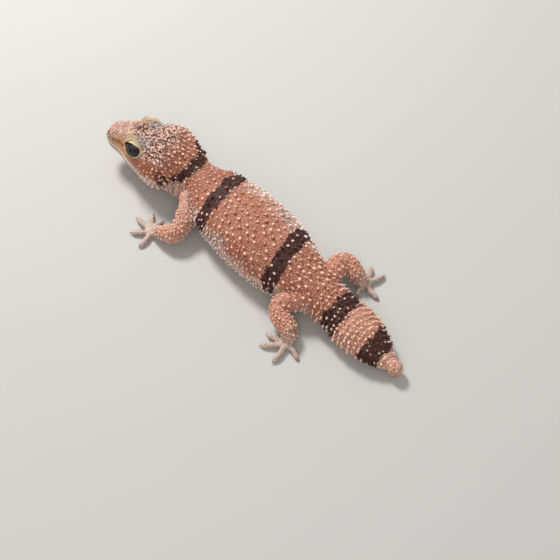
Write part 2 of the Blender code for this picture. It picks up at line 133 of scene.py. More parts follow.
# Rings and sides of the eyeball, and places across and round the lids.
EYE_RINGS = 61
EYE_SIDES = 96
LID_ROWS = 17
LID_SIDES = 240
# How far out the lids look back for the skin under them.
LID_RAY = 8.0
# How far the lids' surface lies over the eyeball at the opening and over the skin at their outer edge, how
# far that edge runs on past their width, and how deep it sinks there.
LID_OVER_EYE = 0.14
LID_OVER_SKIN = 0.05
LID_PAST = 0.3
LID_SINKS = 0.35
# How much fuller the upper lid is, and the height and size of its wrinkles.
LID_FULL = 0.16
LID_WRINKLE = 0.06
LID_WRINKLE_SIZE = 0.55
# The middle of the slit pupil in shares of the eyeball's radius, and how far its upper end leans back.
PUPIL_AT = (0.044, -0.164)
PUPIL_LEAN = math.radians(11.0)
# The places of the nostrils, of the ears and of the knob at the tail's end.
NOSTRIL = (2.0, 2.4, 11.5)
EAR = (24.1, 9.1, 9.8)
KNOB = (116.0, 0.0, 2.7)
KNOB_RADIUS = 2.3
# The tail's last ring and its tip, both inside the knob.
TAIL_RING = 115.4
TAIL_TIP = 115.9
# Each limb's root, elbow or knee, wrist or ankle, and palm or sole, then the tips of its digits on the
# ground: left and right forelimb, left and right hind limb.
LIMBS = (
    (
        ((3.2, -23.6, 7.1), (15.3, -17.0, 4.3), (17.2, -23.0, 2.7), (18.1, -26.2, 0.75)),
        ((13.4, -26.7), (13.5, -31.0), (17.9, -33.2), (22.7, -30.2), (24.2, -24.7)),
    ),
    (
        ((-3.4, -20.0, 7.4), (-11.2, -11.8, 3.4), (-10.9, -18.2, 2.6), (-10.6, -20.6, 0.75)),
        ((-8.4, -24.6), (-10.0, -26.6), (-12.4, -26.0), (-14.2, -23.6), (-14.6, -19.2)),
    ),
    (
        ((3.2, 25.0, 6.0), (12.9, 18.8, 5.2), (14.7, 27.9, 3.3), (17.0, 28.9, 0.75)),
        ((13.4, 24.2), (18.7, 23.0), (22.6, 24.4), (23.8, 30.5), (18.4, 34.7)),
    ),
    (
        ((0.0, 25.0, 6.0), (-13.4, 21.0, 5.2), (-12.0, 28.2, 3.1), (-12.9, 30.0, 0.75)),
        ((-14.4, 25.2), (-18.5, 27.7), (-19.1, 32.1), (-12.0, 36.2), (-8.6, 31.6)),
    ),
)
# Radii along an arm and a leg from root to wrist or ankle, and half the palm's length, width and height.
ARM_RADII = (3.6, 3.2, 2.6, 2.7, 2.0)
LEG_RADII = (3.7, 3.4, 2.8, 2.8, 2.5)
PALM_RADII = (2.3, 2.3, 0.95)

# How far the skin lies inside the solids, how finely it is first drawn, and where it is drawn finer.
SKIN_DEPTH = 0.12
VOXEL = 0.3
FLOOR_GAP = 0.1

# Dark bands: the front and the rear edge as pairs of the distance to the left and along the spine, and the
# height where the band ends on the sides.
BANDS = (
    (
        ((-7.5, 25.0), (-6.0, 27.0), (-3.7, 29.2), (-1.5, 29.8), (0.8, 30.2), (3.8, 30.2), (5.3, 29.8),
         (6.2, 28.5), (7.1, 27.5), (7.9, 26.1), (9.0, 23.4)),
        ((-6.3, 28.9), (-4.9, 31.2), (-1.8, 33.4), (0.1, 33.8), (1.8, 33.6), (3.7, 33.3), (4.8, 32.3),
         (6.6, 30.3), (7.4, 28.6), (8.2, 26.4), (8.8, 24.8)),
        7.4,
    ),
    (
        ((-8.5, 41.6), (-2.9, 42.2), (0.6, 43.6), (4.3, 44.3), (9.4, 44.9)),
        ((-8.8, 45.1), (-5.3, 46.4), (-1.7, 47.3), (2.7, 48.6), (10.0, 48.7)),
        4.2,
    ),
    (
        ((-9.0, 68.6), (-5.0, 69.2), (-0.3, 71.1), (4.5, 72.3), (9.6, 72.9)),
        ((-9.0, 73.2), (-7.6, 73.7), (-3.8, 74.8), (1.4, 75.8), (5.0, 76.8), (9.0, 76.8)),
        3.4,
    ),
    (
        ((-6.0, 91.5), (-3.0, 91.9), (-0.2, 92.3), (3.0, 92.5), (4.9, 92.1)),
        ((-6.0, 96.8), (-4.7, 97.1), (-0.6, 97.8), (3.2, 98.1), (5.7, 98.6)),
        1.8,
    ),
    (
        ((-5.0, 105.3), (-3.8, 105.6), (-0.1, 106.7), (2.5, 107.1), (3.9, 106.7)),
        ((-3.7, 111.2), (-0.2, 112.3), (2.3, 112.2), (3.1, 112.3)),
        1.2,
    ),
)

# The opening between the lids, as the angle up from straight ahead and the distance from the gaze's line,
# and the lids' width there.
LIDS = (
    (-180.0, 2.5, 0.65),
    (-140.0, 2.4, 0.65),
    (-105.0, 2.3, 0.65),
    (-65.0, 2.1, 0.6),
    (-25.0, 2.2, 0.6),
    (0.0, 2.6, 0.6),
    (16.0, 2.9, 0.7),
    (40.0, 2.45, 1.1),
    (75.0, 1.95, 1.25),
    (108.0, 1.9, 1.1),
    (135.0, 2.2, 0.85),
    (160.0, 2.5, 0.65),
    (180.0, 2.5, 0.65),
)
# The lids' thick ring: how far outside the opening its middle runs, its half width and its height.
RING_AT = 0.28
RING_WIDE = 0.22
RING_HIGH = 0.36

# Stretches along the spine: where each begins, is whole, begins to fade and ends.
TRUNK = (40.0, 46.0, 76.0, 82.0)
TEMPLE = (15.5, 18.5, 27.0, 31.0)
STREAK = (2.5, 4.0, 8.5, 10.0)
THROAT = (24.5, 27.0, 37.0, 41.0)
THROAT_FOLDS = (25.5, 27.5, 35.5, 38.5)
FLAT_THROAT = (25.0, 27.0, 35.0, 37.0)
NECK_SHADE = (32.0, 34.0, 41.0, 43.0)
MID_TAIL = (96.5, 98.0, 105.0, 107.0)
NAPE_TUBERCLES = (19.0, 22.0, 28.5, 30.0)
NECK_TUBERCLES = (27.0, 29.0, 36.0, 40.0)
# From one fold of the throat to the next.
FOLD_STEP = 2.2
# Where the head ends and where the knob begins, each from a share of 0 to the whole.
HEAD_ENDS = (26.0, 30.0)
KNOB_BEGINS = (111.0, 113.0)
# Where the fine granules of the crown give way to the neck's.
CROWN_ENDS = (20.0, 26.0)
# How far outside the body's own shape a limb begins and is whole.
LIMB_BEGINS = (0.5, 1.6)
# The pieces of the granules: where along the spine each begins and ends.
COAT_PIECES = (("head", 0.0, 36.0), ("trunk", 36.0, 62.0), ("loins", 62.0, 88.0), ("tail", 88.0, 120.5))

# Kinds of scale: each ring's width and height as shares of the whole, the sides of a ring, how far the tip
# leans back, the turn that a scale may have in all, and whether its tip is paler.
LIP_PLATE = {
    "profile": ((1.0, -0.6), (0.97, 0.35), (0.85, 0.75), (0.6, 0.94)),
    "sides": 14,
    "lean": 0.0,
    "turn": 0.4,
    "crested": 0.0,
}
TUBERCLE = {
    "profile": ((1.0, -0.25), (0.84, 0.24), (0.56, 0.66), (0.28, 0.93)),
    "sides": 10,
    "lean": 0.35,
    "turn": 0.4,
    "crested": 1.0,
}
TAIL_SPINE = {**TUBERCLE, "profile": ((1.0, -0.25), (0.74, 0.26), (0.44, 0.62), (0.2, 0.88))}
GRANULE = {
    "profile": ((1.0, -0.5), (0.9, 0.35), (0.55, 0.85)),
    "sides": 8,
    "lean": 0.2,
    "turn": math.pi,
    "crested": 0.0,
}
# Spreads each scale's chance into its turn, so that its turn and its colour don't go together.
TURN_SPREAD = 7919.0
# How much a tubercle's sizes vary.
SIZE_SPREAD = (0.72, 1.15)
TUBERCLE_TRIES = 60000
GRANULE_TRIES = 300000
# How high over the floor granules begin, and how far they stay from a larger scale in shares of its width.
GRANULE_FLOOR = 0.16
GRANULE_CLEAR = 0.36
# The lips' plates: above and below the mouth's line, from one to the next, and where they end.
LIP_OFF = 0.62
LIP_STEP = 1.3
LIP_END = 19.5
# The tail's rows of tubercles: the first, the last and the distance between two, and between tubercles.
TAIL_ROWS = (88.4, 113.4, 1.62)
TAIL_ROW_STEP = 1.15
# Half the width of a scale's patch on the coat's map.
PATCH = 0.0015

# What each point of the skin and of its scales knows of its place, for the materials.
MASKS = (
    "band",
    "pale",
    "warm",
    "streak",
    "crown",
    "fleck",
    "grey",
    "brow",
    "lip",
    "jaw",
    "temple",
    "muzzle",
    "throat",
    "neck",
    "groove",
    "hollow",
    "tail",
    "middle",
    "limb",
    "arm",
    "hand",
    "chance",
    "crest",
)
# The sockets of a Mix node that mixes colours.
MIX_SHARE, MIX_UNDER, MIX_OVER, MIXED = 0, 6, 7, 2

# The stage: half the floor's width in millimetres, and in metres what the camera looks at and from how far.
FLOOR_HALF = 1500.0
TARGET = (0.003, 0.012, 0.0)
CAMERA_AWAY = 0.3767
CAMERA_AZIMUTH = math.radians(135.7)
CAMERA_ELEVATION = math.radians(55.0)
SENSOR = 36.0
# The lamps: their names, their widths and where they hang over the target, in metres.
LAMPS = (("key", 0.16, (-0.11, -0.42, 0.46)), ("fill", 0.6, (0.4, 0.35, 0.55)))

# What the coat needs of the skin and of the larger scales on it, kept by the operators that make them.
SKIN = {}


def linear(code):
    """The linear colour of an sRGB hex value."""
    shares = [int(code[k : k + 2], 16) / 255 for k in (1, 3, 5)]
    return tuple(c / 12.92 if c <= 0.04045 else ((c + 0.055) / 1.055) ** 2.4 for c in shares)


def smooth(low, high, at):
    """0 at low, 1 at high and an even curve between them."""
    share = np.clip((at - low) / (high - low), 0.0, 1.0)
    return share * share * (3 - 2 * share)


def stretch(at, ends):
    """0 before a stretch, 1 in it and 0 after it, with an even curve at both its ends."""
    begins, whole, fades, over = ends
    return smooth(begins, whole, at) * (1 - smooth(fades, over, at))


def hump(at, middle, spread):
    """A soft hump of height 1."""
    return np.exp(-(((at - middle) / spread) ** 2))


def eased(knots, values, at):
    """Values on the smooth curve through the knots, which never overshoots them."""
    knots, values, at = (np.asarray(a, float) for a in (knots, values, at))
    step = np.diff(knots)
    rise = np.diff(values) / step
    slope = np.concatenate([rise[:1], np.zeros(len(knots) - 2), rise[-1:]])
    same = rise[:-1] * rise[1:] > 0
    slope[1:-1][same] = 2 / (1 / rise[:-1][same] + 1 / rise[1:][same])
    k = np.clip(np.searchsorted(knots, at, side="right") - 1, 0, len(step) - 1)
    t = (at - knots[k]) / step[k]
    held = values[k] * (1 + 2 * t) * (1 - t) ** 2 + values[k + 1] * (3 - 2 * t) * t**2
    return held + step[k] * (slope[k] * t * (1 - t) ** 2 - slope[k + 1] * t**2 * (1 - t))


def grain(points, size, shift=0.0):
    """Noise from about -1 to 1 with lumps of this size in millimetres."""
    scaled = (points + shift * 17.3) / size
    return np.fromiter((noise.noise(p) for p in scaled.tolist()), float, len(points))


def spine_path():
    """The spine seen from above: distances from the snout, x, y and direction."""
    at = np.arange(0.0, TURNS[-1][0] + SPINE_STEP / 2, SPINE_STEP)
    turn = np.radians(eased(*zip(*TURNS), at))
    x = np.cumsum(-np.sin(turn)) * SPINE_STEP
    y = np.cumsum(np.cos(turn)) * SPINE_STEP
    return at, x - np.interp(ANCHOR_AT, at, x) + ANCHOR_X, y - np.interp(ANCHOR_AT, at, y), turn


SPINE = spine_path()


def spine_at(s):
    """The spine's x, y and direction at distances from the snout."""
    return [np.interp(s, SPINE[0], values) for values in SPINE[1:]]


def body_point(s, side, height):
    """World points from places on the body."""
    x, y, turn = spine_at(s)
    s, side, height = np.broadcast_arrays(s, side, height)
    return np.stack([x + np.cos(turn) * side, y + np.sin(turn) * side, height * 1.0], axis=-1)


def body_place(points):
    """Places on the body from world points: distance along the spine, side and height."""
    px, py, height = points.T
    s = py + ANCHOR_AT
    for _ in range(8):
        x, y, turn = spine_at(s)
        s = np.clip(s - (px - x) * np.sin(turn) + (py - y) * np.cos(turn), 0.0, TURNS[-1][0])
    x, y, turn = spine_at(s)
    return s, (px - x) * np.cos(turn) + (py - y) * np.sin(turn), height


def body_shape(s):
    """Half width, top, widest level and underside of the skin, before its soft forms."""
    at, *columns = zip(*STATIONS)
    half, top, level, low = (eased(at, column, s) for column in columns)
    share = np.sqrt(1 - np.clip(1 - s / SNOUT_ROUND, 0.0, 1.0) ** 2)
    half, top, low = half * share, level + (top - level) * share, level + (low - level) * share
    return half - SKIN_DEPTH, top - SKIN_DEPTH, level, low + SKIN_DEPTH


def reach(s, side, height):
    """How far out a place lies, where 1 is on the skin of the body."""
    half, top, level, low = body_shape(s)
    up = height > level
    rise = np.where(up, top - level, level - low)
    power = np.where(up, BACK_POWER, BELLY_POWER)
    flat = np.abs(side) / np.maximum(half, 0.05)
    return (flat**power + (np.abs(height - level) / np.maximum(rise, 0.05)) ** power) ** (1 / power)


def formed(s, side, height, share):
    """Moves places of the body by the soft forms near them, by this share."""
    side, height = side.copy(), height.copy()
    for at, form_side, form_height, spread, out, up, left_only in FORMS:
        away = (s - at) ** 2 + (np.abs(side) - form_side) ** 2 + (height - form_height) ** 2
        weight = np.exp(-away / (2 * spread**2)) * share
        if left_only:
            weight = weight * (side > 0)
        side += np.sign(side) * out * weight
        height += up * weight
    return side, height


def loft(rings, start, end):
    """Points and faces of a closed loft over rings, with a tip at each end."""
    rings = np.asarray(rings)
    count, around, _ = rings.shape
    points = np.concatenate([rings.reshape(-1, 3), [start, end]])
    faces = []
    for j in range(around):
        k = (j + 1) % around
        for i in range(count - 1):
            a, b = i * around, (i + 1) * around
            faces.append((a + j, a + k, b + k, b + j))
        last = (count - 1) * around
        faces += [(k, j, count * around), (last + j, last + k, count * around + 1)]
    return points, faces


def joined(parts):
    """One list of points and one of faces from several."""
    points, faces, start = [], [], 0
    for some, theirs in parts:
        points.append(some)
        faces += [tuple(i + start for i in face) for face in theirs]
        start += len(some)
    return np.concatenate(points), faces


def body_loft():
    """The body from the snout to the knob, without its soft forms."""
    front = SNOUT_ROUND * (1 - np.cos(np.radians(np.arange(8.0, 88.0, 5.0))))
    stops = np.concatenate([front, np.arange(SNOUT_ROUND, STATIONS[-1][0], 0.5), [TAIL_RING]])
    angle = np.linspace(0.0, 2 * math.pi, 72, endpoint=False)
    across, up = np.cos(angle), np.sin(angle)
    half, top, level, low = (column[:, None] for column in body_shape(np.minimum(stops, STATIONS[-1][0])))
    power = np.where(up > 0, 2 / BACK_POWER, 2 / BELLY_POWER)
    side = half * np.sign(across) * np.abs(across) ** power
    height = level + np.where(up > 0, top - level, level - low) * np.sign(up) * np.abs(up) ** power
    rings = body_point(stops[:, None], side, np.maximum(height, FLOOR_GAP))
    level = body_shape(np.array([0.0]))[2][0]
    return loft(rings, body_point(0.12, 0.0, level), body_point(TAIL_TIP, 0.0, KNOB[2]))


def globe(rings, sides):
    """Rings of directions round the third axis, from it to its opposite without the two ends."""
    turns = np.linspace(0.0, math.pi, rings)[1:-1]
    angle = np.linspace(0.0, 2 * math.pi, sides, endpoint=False)
    first, second = np.outer(np.sin(turns), np.cos(angle)), np.outer(np.sin(turns), np.sin(angle))
    return np.stack([first, second, np.outer(np.cos(turns), np.ones(sides))], axis=-1)


def ball(centre, radii, fine=24):
    """An upright ellipsoid."""
    centre, radii = np.asarray(centre), np.asarray(radii)
    top = centre + radii * (0, 0, 1)
    return loft(centre + globe(fine // 2, fine) * radii, top, centre - radii * (0, 0, 1))


def tube(places, radii, flat=1.0, sides=20):
    """A round tube through places, closed at both ends."""
    places, radii = np.asarray(places), np.asarray(radii)
    ahead = np.gradient(places, axis=0)
    ahead /= np.linalg.norm(ahead, axis=1)[:, None]
    across = np.cross((0.0, 0.0, 1.0), ahead)
    across /= np.linalg.norm(across, axis=1)[:, None]
    up = np.cross(ahead, across)
    angle = np.linspace(0.0, 2 * math.pi, sides, endpoint=False)[None, :, None]
    flat = np.broadcast_to(flat, radii.shape)[:, None, None]
    out = across[:, None] * np.cos(angle) + up[:, None] * np.sin(angle) * flat
    rings = places[:, None] + out * radii[:, None, None]
    return loft(rings, places[0] - ahead[0] * 0.05, places[-1] + ahead[-1] * radii[-1] * 0.45)


def limb_path(joints, t):
    """Places along a limb with its bend rounded: 0 root, 1 bend, 2 wrist or ankle."""
    joints = np.asarray(joints[:3])
    total = np.zeros((len(t), 3))
    spread = np.minimum(0.5, np.minimum(t, 2 - t))
    for k in range(-4, 5):
        at = t + spread * k / 4
        first = np.minimum(1, at.astype(int))
        total += joints[first] + (joints[first + 1] - joints[first]) * (at - first)[:, None]
    return total / 9


def digit_path(palm, tip, share):
    """Places along a digit, from the middle of the palm to its tip on the ground."""
    palm, tip = np.asarray(palm), np.asarray(tip)
    bow = 0.3 * np.sin(share * math.pi) * np.sign(palm[0])
    out = tip - palm[:2]
    across = np.array([-out[1], out[0]]) / np.linalg.norm(out)
    flat = palm[:2] + out * share[:, None] + across * bow[:, None]
    height = eased((0.0, 0.12, 0.55, 0.9, 1.0), (0.95, 0.95, 1.0, 0.62, 0.5), share)
    return np.column_stack([flat, height])


def limb_lofts():
    """The four limbs with their hands and feet."""
    parts = []
    for number, (joints, tips) in enumerate(LIMBS):
        radii = ARM_RADII if number < 2 else LEG_RADII
        t = np.linspace(0.0, 2.0, 45)
        way = limb_path(joints, t)
        size = eased((0.0, 0.5, 1.0, 1.5, 2.0), radii, t) - SKIN_DEPTH
        parts.append(tube(way, size, sides=32))
        wrist, palm = np.asarray(joints[2]), np.asarray(joints[3])
        share = np.linspace(0.0, 1.0, 9)
        flat = eased((0.0, 0.35, 0.7, 1.0), (1.0, 0.8, 0.55, 0.42), share)
        size = (radii[-1] - SKIN_DEPTH) * (1 - 0.22 * share)
        parts.append(tube(wrist + (palm - wrist) * share[:, None], size, flat, 32))
        parts.append(ball(palm, np.asarray(PALM_RADII) - 0.1))
        for tip in tips:
            share = np.linspace(0.05, 0.97, 26)
            size = eased((0.05, 0.3, 0.6, 0.85, 0.97), (0.85, 0.76, 0.72, 0.66, 0.52), share)
            size += 0.07 * hump(share, 0.55, 0.06) + 0.06 * hump(share, 0.8, 0.05)
            parts.append(tube(digit_path(palm, tip, share), size))
    return parts


def eye_frame(sign):
    """The middle of one eyeball, and its directions of gaze, of ahead and of up."""
    s, side, height = EYE_PLACE
    turn = float(spine_at(s)[2])
    left = np.array([math.cos(turn), math.sin(turn), 0.0]) * sign
    forward = np.array([math.sin(turn), -math.cos(turn), 0.0])
    level = left * math.cos(EYE_AHEAD) + forward * math.sin(EYE_AHEAD)
    gaze = level * math.cos(EYE_UP) + np.array([0.0, 0.0, 1.0]) * math.sin(EYE_UP)
    ahead = forward * math.cos(EYE_AHEAD) - left * math.sin(EYE_AHEAD)
    up = np.array([0.0, 0.0, 1.0]) * math.cos(EYE_UP) - level * math.sin(EYE_UP)
    return body_point(s, sign * side, height), gaze, ahead, up


def lid_shape(angle):
    """How far the opening between the lids reaches from the gaze's line, and the lids' width."""
    degrees = (np.degrees(angle) + 180) % 360 - 180
    knots, opening, width = zip(*LIDS)
    return eased(knots, opening, degrees), eased(knots, width, degrees)


def round_eye(points, sign):
    """How points lie round one eye: along its gaze, away from the gaze's line, the angle round it, and the
    distance to its middle.
    """
    centre, gaze, ahead, up = eye_frame(sign)
    local = points - centre
    across, rise = local @ ahead, local @ up
    return local @ gaze, np.hypot(across, rise), np.arctan2(rise, across), np.linalg.norm(local, axis=1)


def limb_zone(points):
    """The nearest limb, how far along it a point lies and the direction outwards, and the distance to its
    middle: 2 to 3 is the hand.
    """
    best = np.full(len(points), 1e9)
    number, way = np.zeros(len(points), int), np.zeros(len(points))
    lie = np.zeros((len(points), 3))
    for k, (joints, tips) in enumerate(LIMBS):
        t = np.linspace(0.0, 2.0, 41)
        paths = [(t, limb_path(joints, t))]
        share = np.linspace(0.0, 1.0, 21)
        paths += [(2 + share, digit_path(joints[3], tip, share)) for tip in tips]
        for t, path in paths:
            ahead = np.gradient(path, axis=0)
            ahead /= np.linalg.norm(ahead, axis=1)[:, None]
            for value, spot, direction in zip(t, path, ahead):
                away = np.linalg.norm(points - spot, axis=1)
                near = away < best
                best[near], number[near], way[near], lie[near] = away[near], k, value, direction
    return number, way, lie, best


class Surface:
    """What is known of points on the skin: their places on the body, the limb that each belongs to and its
    share in it, how far along the limb it lies, the way that scales lie there, and its place round the body.
    Scales on these points keep their own sizes and chances here too.
    """

    def __init__(self, points, normals):
        self.points, self.normals = points, normals
        self.s, self.side, self.height = body_place(points)
        _, _, self.level, _ = body_shape(self.s)
        spread = np.hypot(self.side, self.height - self.level)
        out = reach(self.s, self.side, self.height)
        beyond = spread - spread / np.maximum(out, 0.05)
        head = (1 - smooth(*HEAD_ENDS, self.s)) * (1 - smooth(3.5, 6.0, beyond))
        self.number, self.way, limb_lie, away = limb_zone(points)
        self.limb = smooth(*LIMB_BEGINS, beyond) * (1 - head) * (1 - smooth(4.3, 5.3, away))
        self.limb *= 1 - smooth(*KNOB_BEGINS, self.s)
        turn = spine_at(self.s)[2]
        body_lie = np.stack([-np.sin(turn), np.cos(turn), turn * 0], axis=-1)
        self.lie = np.where(self.limb[:, None] > 0.4, limb_lie, body_lie)
        self.hand = self.limb * smooth(1.88, 2.15, self.way)
        self.girth = np.arctan2(self.side, self.height - self.level) / (2 * math.pi) + 0.5

    def picked(self, chosen):
        """The same for some of the points."""
        other = object.__new__(Surface)
        for name, values in self.__dict__.items():
            setattr(other, name, values[chosen])
        return other


def band_share(here, chance):
    """Where the dark bands lie, with edges that are ragged at the granules' size."""
    ragged = 0.55 * grain(here.points, 2.6, 1.0) + 0.5 * grain(here.points, 0.9, 2.0) + 0.7 * (chance - 0.5)
    total = np.zeros(len(here.points))
    for front, rear, lowest in BANDS:
        start = np.interp(here.side, *zip(*front)) + ragged
        end = np.interp(here.side, *zip(*rear)) + ragged
        share = smooth(-0.15, 0.15, here.s - start) * smooth(-0.15, 0.15, end - here.s)
        # The lower end breaks up, granule by granule.
        fade = smooth(lowest - 2.2, lowest + 2.6, here.height + 1.2 * ragged) + 0.7 * (chance - 0.5)
        share = share * smooth(0.35, 0.6, fade)
        total = np.maximum(total, share)
    return total * (1 - smooth(0.35, 0.6, here.limb))


def brow_share(points):
    """Where the skin in front of and above each eye has the lids' colour."""
    total = np.zeros(len(points))
    for sign in (1, -1):
        along, away, angle, size = round_eye(points, sign)
        opening, width = lid_shape(angle)
        share = (1 - smooth(0.9, 1.6, away - opening - width)) * hump(angle, 0.6, 0.7) * (along > -0.6)
        total = np.maximum(total, share * (size < EYE_ZONE))
    return total


def markings(here, chance):
    """The masks of the skin's colours, for the skin and for every scale on it."""
    s, side, height = here.s, np.abs(here.side), here.height
    body = 1 - here.limb
    rough, fine, finest = (grain(here.points, size, size) for size in (2.6, 0.85, 0.42))
    top = body_shape(s)[1]
    # The trunk's flanks are pale skin; on its right side the pale reaches further up, a painted highlight
    # along that flank. Elsewhere only the underside is pale.
    trunk = stretch(s, TRUNK)
    edge = np.where(here.side > 0, 11.4 - 3.0 * smooth(54.0, 64.0, s), top - 0.9)
    edge = here.level + 2.2 + (edge - here.level - 2.2) * trunk
    broad = grain(here.points, 6.0, 12.0)
    low = 1 - smooth(edge - 2.2, edge + 0.8, height + 1.2 * rough + 1.6 * broad + 1.8 * (chance - 0.5))
    low *= 1 - 0.65 * smooth(84.0, 90.0, s)
    under_limb = smooth(0.1, -0.6, here.normals[:, 2])
    # A warm patch and a dark streak lie before the eye, grey over it, and dark flecks on the pale crown.
    warm = hump(s, 7.5, 4.4) * hump(height, 11.8, 2.4) * smooth(2.2, 4.0, side)
    streak = hump(height - 11.6 - 0.12 * (s - 6.0), 0.0, 0.42) * stretch(s, STREAK)
    crown = smooth(1.0, 5.0, s) * (1 - smooth(21.0, 27.0, s + 1.6 * rough))
    crown *= smooth(top - 4.6, top - 2.0, height)
    net = 0.45 * fine + finest + 0.2 * rough - 0.5 * (chance - 0.5)
    fleck = smooth(0.02, 0.12, net) * (0.4 + 0.6 * smooth(8.0, 11.0, s))
    brow = brow_share(here.points)
    grey = hump(s, 15.2, 2.0) * hump(side, 3.9, 1.7) * smooth(14.6, 16.0, height)
    lip = hump(height - here.level, 0.3, 0.85) * (1 - smooth(20.0, 23.5, s))
    jaw = smooth(here.level + 1.0, here.level - 1.0, height) * (1 - smooth(27.0, 30.0, s))
    temple = stretch(s, TEMPLE) * smooth(4.5, 6.5, side)
    temple *= smooth(here.level + 1.0, here.level + 2.4, height + rough)
    muzzle = (1 - smooth(2.0, 5.5, s)) * smooth(here.level, here.level + 2.0, height)
    folded, wave = throat_folds(here)
    # Painted shade inside the nostrils and ears.
    hollow = np.maximum(hump(nostril_distance(here), 0.0, 0.55), hump(ear_slit(here), 0.0, 1.3))
    throat = stretch(s, THROAT) * smooth(here.level + 2.6, here.level, height)
    masks = {
        "band": band_share(here, chance),
        "pale": low * body + under_limb * here.limb * 0.8,
        "warm": warm * 1.2 * body,
        "streak": streak * smooth(3.0, 4.0, side) * body,
        "crown": crown * body,
        "fleck": fleck * crown * body * (1 - brow),
        "grey": grey * 1.7 * smooth(-0.35, 0.1, fine) * body * (1 - brow),
        "brow": brow,
        "lip": lip * 1.2 * body,
        "jaw": jaw * body,
        "temple": temple * body * (1 - 0.8 * grey),
        "muzzle": muzzle * body,
        "throat": throat * body,
        "neck": stretch(s, NECK_SHADE) * body,
        # Painted shade in the troughs between the throat's folds.
        "groove": folded * smooth(-0.1, -0.8, wave),
        "hollow": hollow * body,
        "tail": smooth(110.9, 112.2, s) * body,
        "middle": stretch(s, MID_TAIL) * body,
        "limb": here.limb,
        "arm": here.limb * (here.number < 2) * (1 - 0.7 * smooth(0.3, 1.1, here.way)),
        "hand": here.hand,
        "chance": chance,
    }
    return {key: np.clip(values, 0.0, 1.0) for key, values in masks.items()}


def store_masks(mesh, masks):
    """Keeps masks on the points of a mesh, for its material to read."""
    for key, values in masks.items():
        mesh.attributes.new(key, "FLOAT", "POINT").data.foreach_set("value", values.astype(np.float32))


def dressed(made, material):
    """A piece of the gecko with its material and the body that it rides on."""
    made.data.materials.append(material)
    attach(made, "root")
    return made


def mesh_object(name, points, faces, masks=None):
    """An object of these points, in millimetres, with its masks stored on the points."""
    mesh = bpy.data.meshes.new(name)
    points = np.asarray(points) * METRES
    points[:, 2] = np.maximum(points[:, 2], 0.0)
    if isinstance(faces, np.ndarray):
        mesh.vertices.add(len(points))
        mesh.vertices.foreach_set("co", points.ravel())
        mesh.loops.add(faces.size)
        mesh.loops.foreach_set("vertex_index", faces.ravel())
        mesh.polygons.add(len(faces))
        mesh.polygons.foreach_set("loop_start", np.arange(len(faces)) * faces.shape[1])
        mesh.update(calc_edges=True)
    else:
        mesh.from_pydata(points.tolist(), [], faces)
    mesh.shade_smooth()
    store_masks(mesh, masks or {})
    made = bpy.data.objects.new(name, mesh)
    bpy.context.scene.collection.objects.link(made)
    return made


def mesh_points(mesh):
    """The points of a mesh as an array."""
    points = np.empty(len(mesh.vertices) * 3)
    mesh.vertices.foreach_get("co", points)
    return points.reshape(-1, 3)


def mesh_normals(mesh):
    """The normals at the points of a mesh as an array."""
    normals = np.empty(len(mesh.vertices) * 3)
    mesh.vertex_normals.foreach_get("vector", normals)
    return normals.reshape(-1, 3)


def plain_skin():
    """The body, limbs and knob as one closed surface, not yet formed."""
    knob = ball(body_point(*KNOB), np.full(3, KNOB_RADIUS - SKIN_DEPTH), 36)
    points, faces = joined([body_loft(), knob, *limb_lofts()])
    mesh = bpy.data.meshes.new("form")
    mesh.from_pydata(points.tolist(), [], faces)
    form = bpy.data.objects.new("form", mesh)
    bpy.context.scene.collection.objects.link(form)
    remesh = form.modifiers.new("remesh", "REMESH")
    remesh.mode, remesh.voxel_size = "VOXEL", VOXEL
    relax = form.modifiers.new("relax", "SMOOTH")
    relax.factor, relax.iterations = 0.5, 4
    whole = bpy.data.meshes.new_from_object(form.evaluated_get(bpy.context.evaluated_depsgraph_get()))
    bpy.data.objects.remove(form)
    bpy.data.meshes.remove(mesh)
    return whole


def domed(points):
    """Draws the skin out over the eyeballs, and close to them under the lids."""
    for sign in (1, -1):
        centre = eye_frame(sign)[0]
        along, away, angle, size = round_eye(points, sign)
        dome = EYE_RADIUS + EYE_COVER + BROW_COVER * np.maximum(np.sin(angle), 0.0) * smooth(1.0, 2.5, away)
        drawn = (size + dome + np.sqrt((size - dome) ** 2 + 0.3)) / 2
        opening, width = lid_shape(angle)
        under_lids = (1 - smooth(opening + width, opening + width + 0.9, away)) * (along > 0.0)
        lid = EYE_RADIUS + LID_COVER + LID_CORNER * hump(angle, 0.75, 0.5)
        drawn = drawn + (lid - drawn) * under_lids
        near = (size < EYE_ZONE) & (along > -3.0)
        points = np.where(near[:, None], centre + (points - centre) * (drawn / size)[:, None], points)
    return points


def finer(points):
    """How many times the skin is split at each point: more round the mouth, eyes, nostrils and ears."""
    s, side, height = body_place(points)
    _, _, level, _ = body_shape(s)
    mouth = (s < MOUTH_END + 1) & (np.abs(height - level) < 1.1) & (reach(s, side, height) < 1.3)
    times = np.where(mouth, 2, 0)
    for sign in (1, -1):
        _, away, _, size = round_eye(points, sign)
        times = np.maximum(times, np.where((size < EYE_ZONE) & (away < 5.0), 1, 0))
        for place, span in ((NOSTRIL, 1.4), (EAR, 2.4)):
            centre = body_point(place[0], sign * place[1], place[2])
            times = np.maximum(times, np.where(np.linalg.norm(points - centre, axis=1) < span, 2, 0))
    return times


def split_skin(mesh):
    """Splits the skin's faces where it needs to be finer."""
    bm = bmesh.new()
    bm.from_mesh(mesh)
    bmesh.ops.triangulate(bm, faces=bm.faces)
    for turn in (1, 2):
        points = np.array([v.co for v in bm.verts])
        near = finer(points) >= turn
        bm.verts.index_update()
        edges = [e for e in bm.edges if near[e.verts[0].index] and near[e.verts[1].index]]
        bmesh.ops.subdivide_edges(bm, edges=edges, cuts=1)
        bmesh.ops.triangulate(bm, faces=[f for f in bm.faces if len(f.verts) > 3])
    bm.to_mesh(mesh)
    bm.free()


